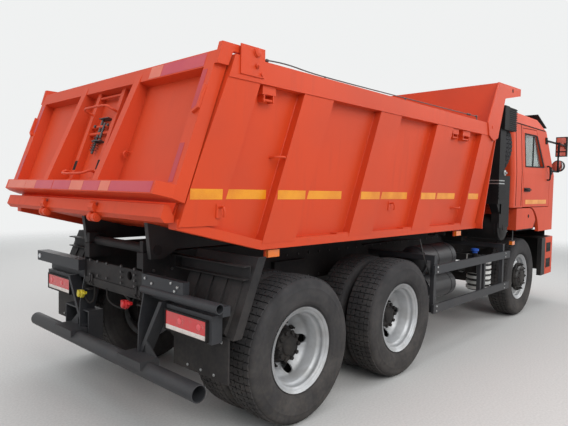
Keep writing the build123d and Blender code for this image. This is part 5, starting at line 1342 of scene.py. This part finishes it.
def make_stage(settings):
    """Pale ground that fades into the backdrop, soft lights and a plain sky."""
    bm = bmesh.new()
    for x, y in ((-1, -1), (1, -1), (1, 1), (-1, 1)):
        bm.verts.new((x * GROUND_REACH, y * GROUND_REACH, 0))
    bm.faces.new(bm.verts)
    mesh = bpy.data.meshes.new("ground")
    bm.to_mesh(mesh)
    bm.free()
    tree, shader = new_material("ground")
    where = position(tree)
    shade = ramp(tree, noise(tree, where, 60.0, 8.0), 0.3, 0.7)
    distance = put(tree, "ShaderNodeVectorMath", {0: where}, operation="LENGTH").outputs["Value"]
    feed(tree, shader, {"Base Color": blend(tree, shade, linear(198, 197, 194), linear(188, 187, 184)),
                        "Roughness": 0.9, "Alpha": ramp(tree, distance, 8.5, 15.5, 1.0, 0.0)})
    mesh.materials.append(PAINTS["ground"])
    ground = bpy.data.objects.new("ground", mesh)
    bpy.context.scene.collection.objects.link(ground)
    for number, (spot, width, power, aim) in enumerate(LIGHTS):
        data = bpy.data.lights.new(f"light_{number}", "AREA")
        data.size = width
        data.energy = power * settings.light_level
        lamp = bpy.data.objects.new(f"light_{number}", data)
        lamp.matrix_world = (Matrix.Translation(spot)
                             @ (Vector(aim) - Vector(spot)).to_track_quat("-Z", "Y").to_matrix().to_4x4())
        bpy.context.scene.collection.objects.link(lamp)
    world = bpy.data.worlds.new("sky")
    world.use_nodes = True
    sky = world.node_tree
    sky.nodes.clear()
    rays = put(sky, "ShaderNodeLightPath").outputs
    seen = arithmetic(sky, "MAXIMUM", rays["Is Camera Ray"],
                      arithmetic(sky, "MAXIMUM", rays["Is Glossy Ray"], rays["Is Transmission Ray"]))
    lit = put(sky, "ShaderNodeBackground", {"Color": linear(206, 212, 220), "Strength": 0.62})
    shown = put(sky, "ShaderNodeBackground", {"Color": (0.87, 0.88, 0.88, 1), "Strength": 1.0})
    mixed = put(sky, "ShaderNodeMixShader", {0: seen, 1: lit.outputs[0], 2: shown.outputs[0]})
    sky.links.new(mixed.outputs[0], sky.nodes.new("ShaderNodeOutputWorld").inputs[0])
    bpy.context.scene.world = world
    bpy.context.scene.view_settings.view_transform = "Standard"


class TipperSettings(bpy.types.PropertyGroup):
    """Sizes and colours of the scene that may be changed from the panel."""
    body_colour: bpy.props.FloatVectorProperty(
        name="Body colour", description="Paint of the bed, the tailgate and the cab", subtype="COLOR",
        size=3, min=0.0, max=1.0, default=linear(*FINISHES["body_paint"][0])[:3])
    frame_colour: bpy.props.FloatVectorProperty(
        name="Frame colour", description="Paint of the frame, the axles and the springs", subtype="COLOR",
        size=3, min=0.0, max=1.0, default=linear(*FINISHES["chassis_paint"][0])[:3])
    tape_colour: bpy.props.FloatVectorProperty(
        name="Tape colour", description="Reflective tape along the sides", subtype="COLOR", size=3,
        min=0.0, max=1.0, default=linear(232, 150, 22)[:3])
    tape_width: bpy.props.FloatProperty(
        name="Tape width", description="Width of the tape along the bed's sides", default=0.060, min=0.02,
        max=0.12, unit="LENGTH")
    wheel_nut: bpy.props.FloatProperty(
        name="Wheel nut", description="Size of a wheel nut across its flats", default=0.030, min=0.02,
        max=0.036, unit="LENGTH")
    tread_pitches: bpy.props.IntProperty(
        name="Tread pitches", description="Tread blocks round a tyre", default=64, min=24, max=96)
    lens: bpy.props.FloatProperty(
        name="Lens", description="Focal length on a sensor 36 mm wide", default=32.38, min=10.0,
        unit="CAMERA")
    light_level: bpy.props.FloatProperty(
        name="Light level", description="Power of the soft lights against their own", default=1.0, min=0.0,
        subtype="FACTOR")


class Step:
    """What the operators share: each runs its own work with the scene's settings."""
    bl_options = {"REGISTER"}

    def execute(self, context):
        self.work(context.scene.tipper)
        return {"FINISHED"}


class TIPPER_OT_camera(Step, bpy.types.Operator):
    """Set the camera at the photograph's viewpoint"""
    bl_idname = "tipper.camera"
    bl_label = "Camera"
    work = staticmethod(make_camera)


class TIPPER_OT_stage(Step, bpy.types.Operator):
    """Make the ground, the lights and the sky"""
    bl_idname = "tipper.stage"
    bl_label = "Stage"
    work = staticmethod(make_stage)


class TIPPER_OT_paint(Step, bpy.types.Operator):
    """Make the materials and paint every CAD node"""
    bl_idname = "tipper.paint"
    bl_label = "Paint"
    work = staticmethod(paint_nodes)


class TIPPER_OT_tyres(Step, bpy.types.Operator):
    """Make the treaded tyres"""
    bl_idname = "tipper.tyres"
    bl_label = "Tyres"
    work = staticmethod(make_tyres)


class TIPPER_OT_hubs(Step, bpy.types.Operator):
    """Make wheel nuts and hub covers"""
    bl_idname = "tipper.hubs"
    bl_label = "Hubs"
    work = staticmethod(make_hubs)


class TIPPER_OT_tape(Step, bpy.types.Operator):
    """Make the reflective tape of the bed"""
    bl_idname = "tipper.tape"
    bl_label = "Tape"
    work = staticmethod(make_tape)


class TIPPER_OT_gate(Step, bpy.types.Operator):
    """Make the ladder rods, latch gear and hooks of the tailgate"""
    bl_idname = "tipper.gate"
    bl_label = "Tailgate fittings"
    work = staticmethod(make_gate)


class TIPPER_OT_bed(Step, bpy.types.Operator):
    """Make the hooks, brackets, cable and bolts of the bed"""
    bl_idname = "tipper.bed"
    bl_label = "Bed fittings"
    work = staticmethod(make_bed)


class TIPPER_OT_rear(Step, bpy.types.Operator):
    """Make the couplings, bolts and lamp frames at the rear"""
    bl_idname = "tipper.rear"
    bl_label = "Rear fittings"
    work = staticmethod(make_rear)


class TIPPER_OT_flank(Step, bpy.types.Operator):
    """Make the tank straps, caps, stays and duct straps"""
    bl_idname = "tipper.flank"
    bl_label = "Side fittings"
    work = staticmethod(make_flank)


class TIPPER_OT_cab(Step, bpy.types.Operator):
    """Make handles, mirrors, wipers, lamps and seals of the cab"""
    bl_idname = "tipper.cab"
    bl_label = "Cab fittings"
    work = staticmethod(make_cab)


OPERATORS = (TIPPER_OT_camera, TIPPER_OT_stage, TIPPER_OT_paint, TIPPER_OT_tyres, TIPPER_OT_hubs,
             TIPPER_OT_tape, TIPPER_OT_gate, TIPPER_OT_bed, TIPPER_OT_rear, TIPPER_OT_flank,
             TIPPER_OT_cab)


class TIPPER_PT_panel(bpy.types.Panel):
    """Steps of the making, in order."""
    bl_idname = "TIPPER_PT_panel"
    bl_label = "Tipper"
    bl_space_type = "VIEW_3D"
    bl_region_type = "UI"
    bl_category = "Tipper"

    def draw(self, context):
        settings = context.scene.tipper
        for name in settings.bl_rna.properties.keys():
            if name not in ("rna_type", "name"):
                self.layout.prop(settings, name)
        for step in OPERATORS:
            self.layout.operator(step.bl_idname)


CLASSES = (TipperSettings,) + OPERATORS + (TIPPER_PT_panel,)


def register():
    """Register the settings, the steps and the panel."""
    for item in CLASSES:
        bpy.utils.register_class(item)
    bpy.types.Scene.tipper = bpy.props.PointerProperty(type=TipperSettings)


def unregister():
    """Take the panel, the steps and the settings out again."""
    del bpy.types.Scene.tipper
    for item in reversed(CLASSES):
        bpy.utils.unregister_class(item)


def main():
    """Run every step in order."""
    register()
    for step in OPERATORS:
        getattr(bpy.ops.tipper, step.bl_idname.split(".")[1])()


if __name__ == "__main__":
    main()
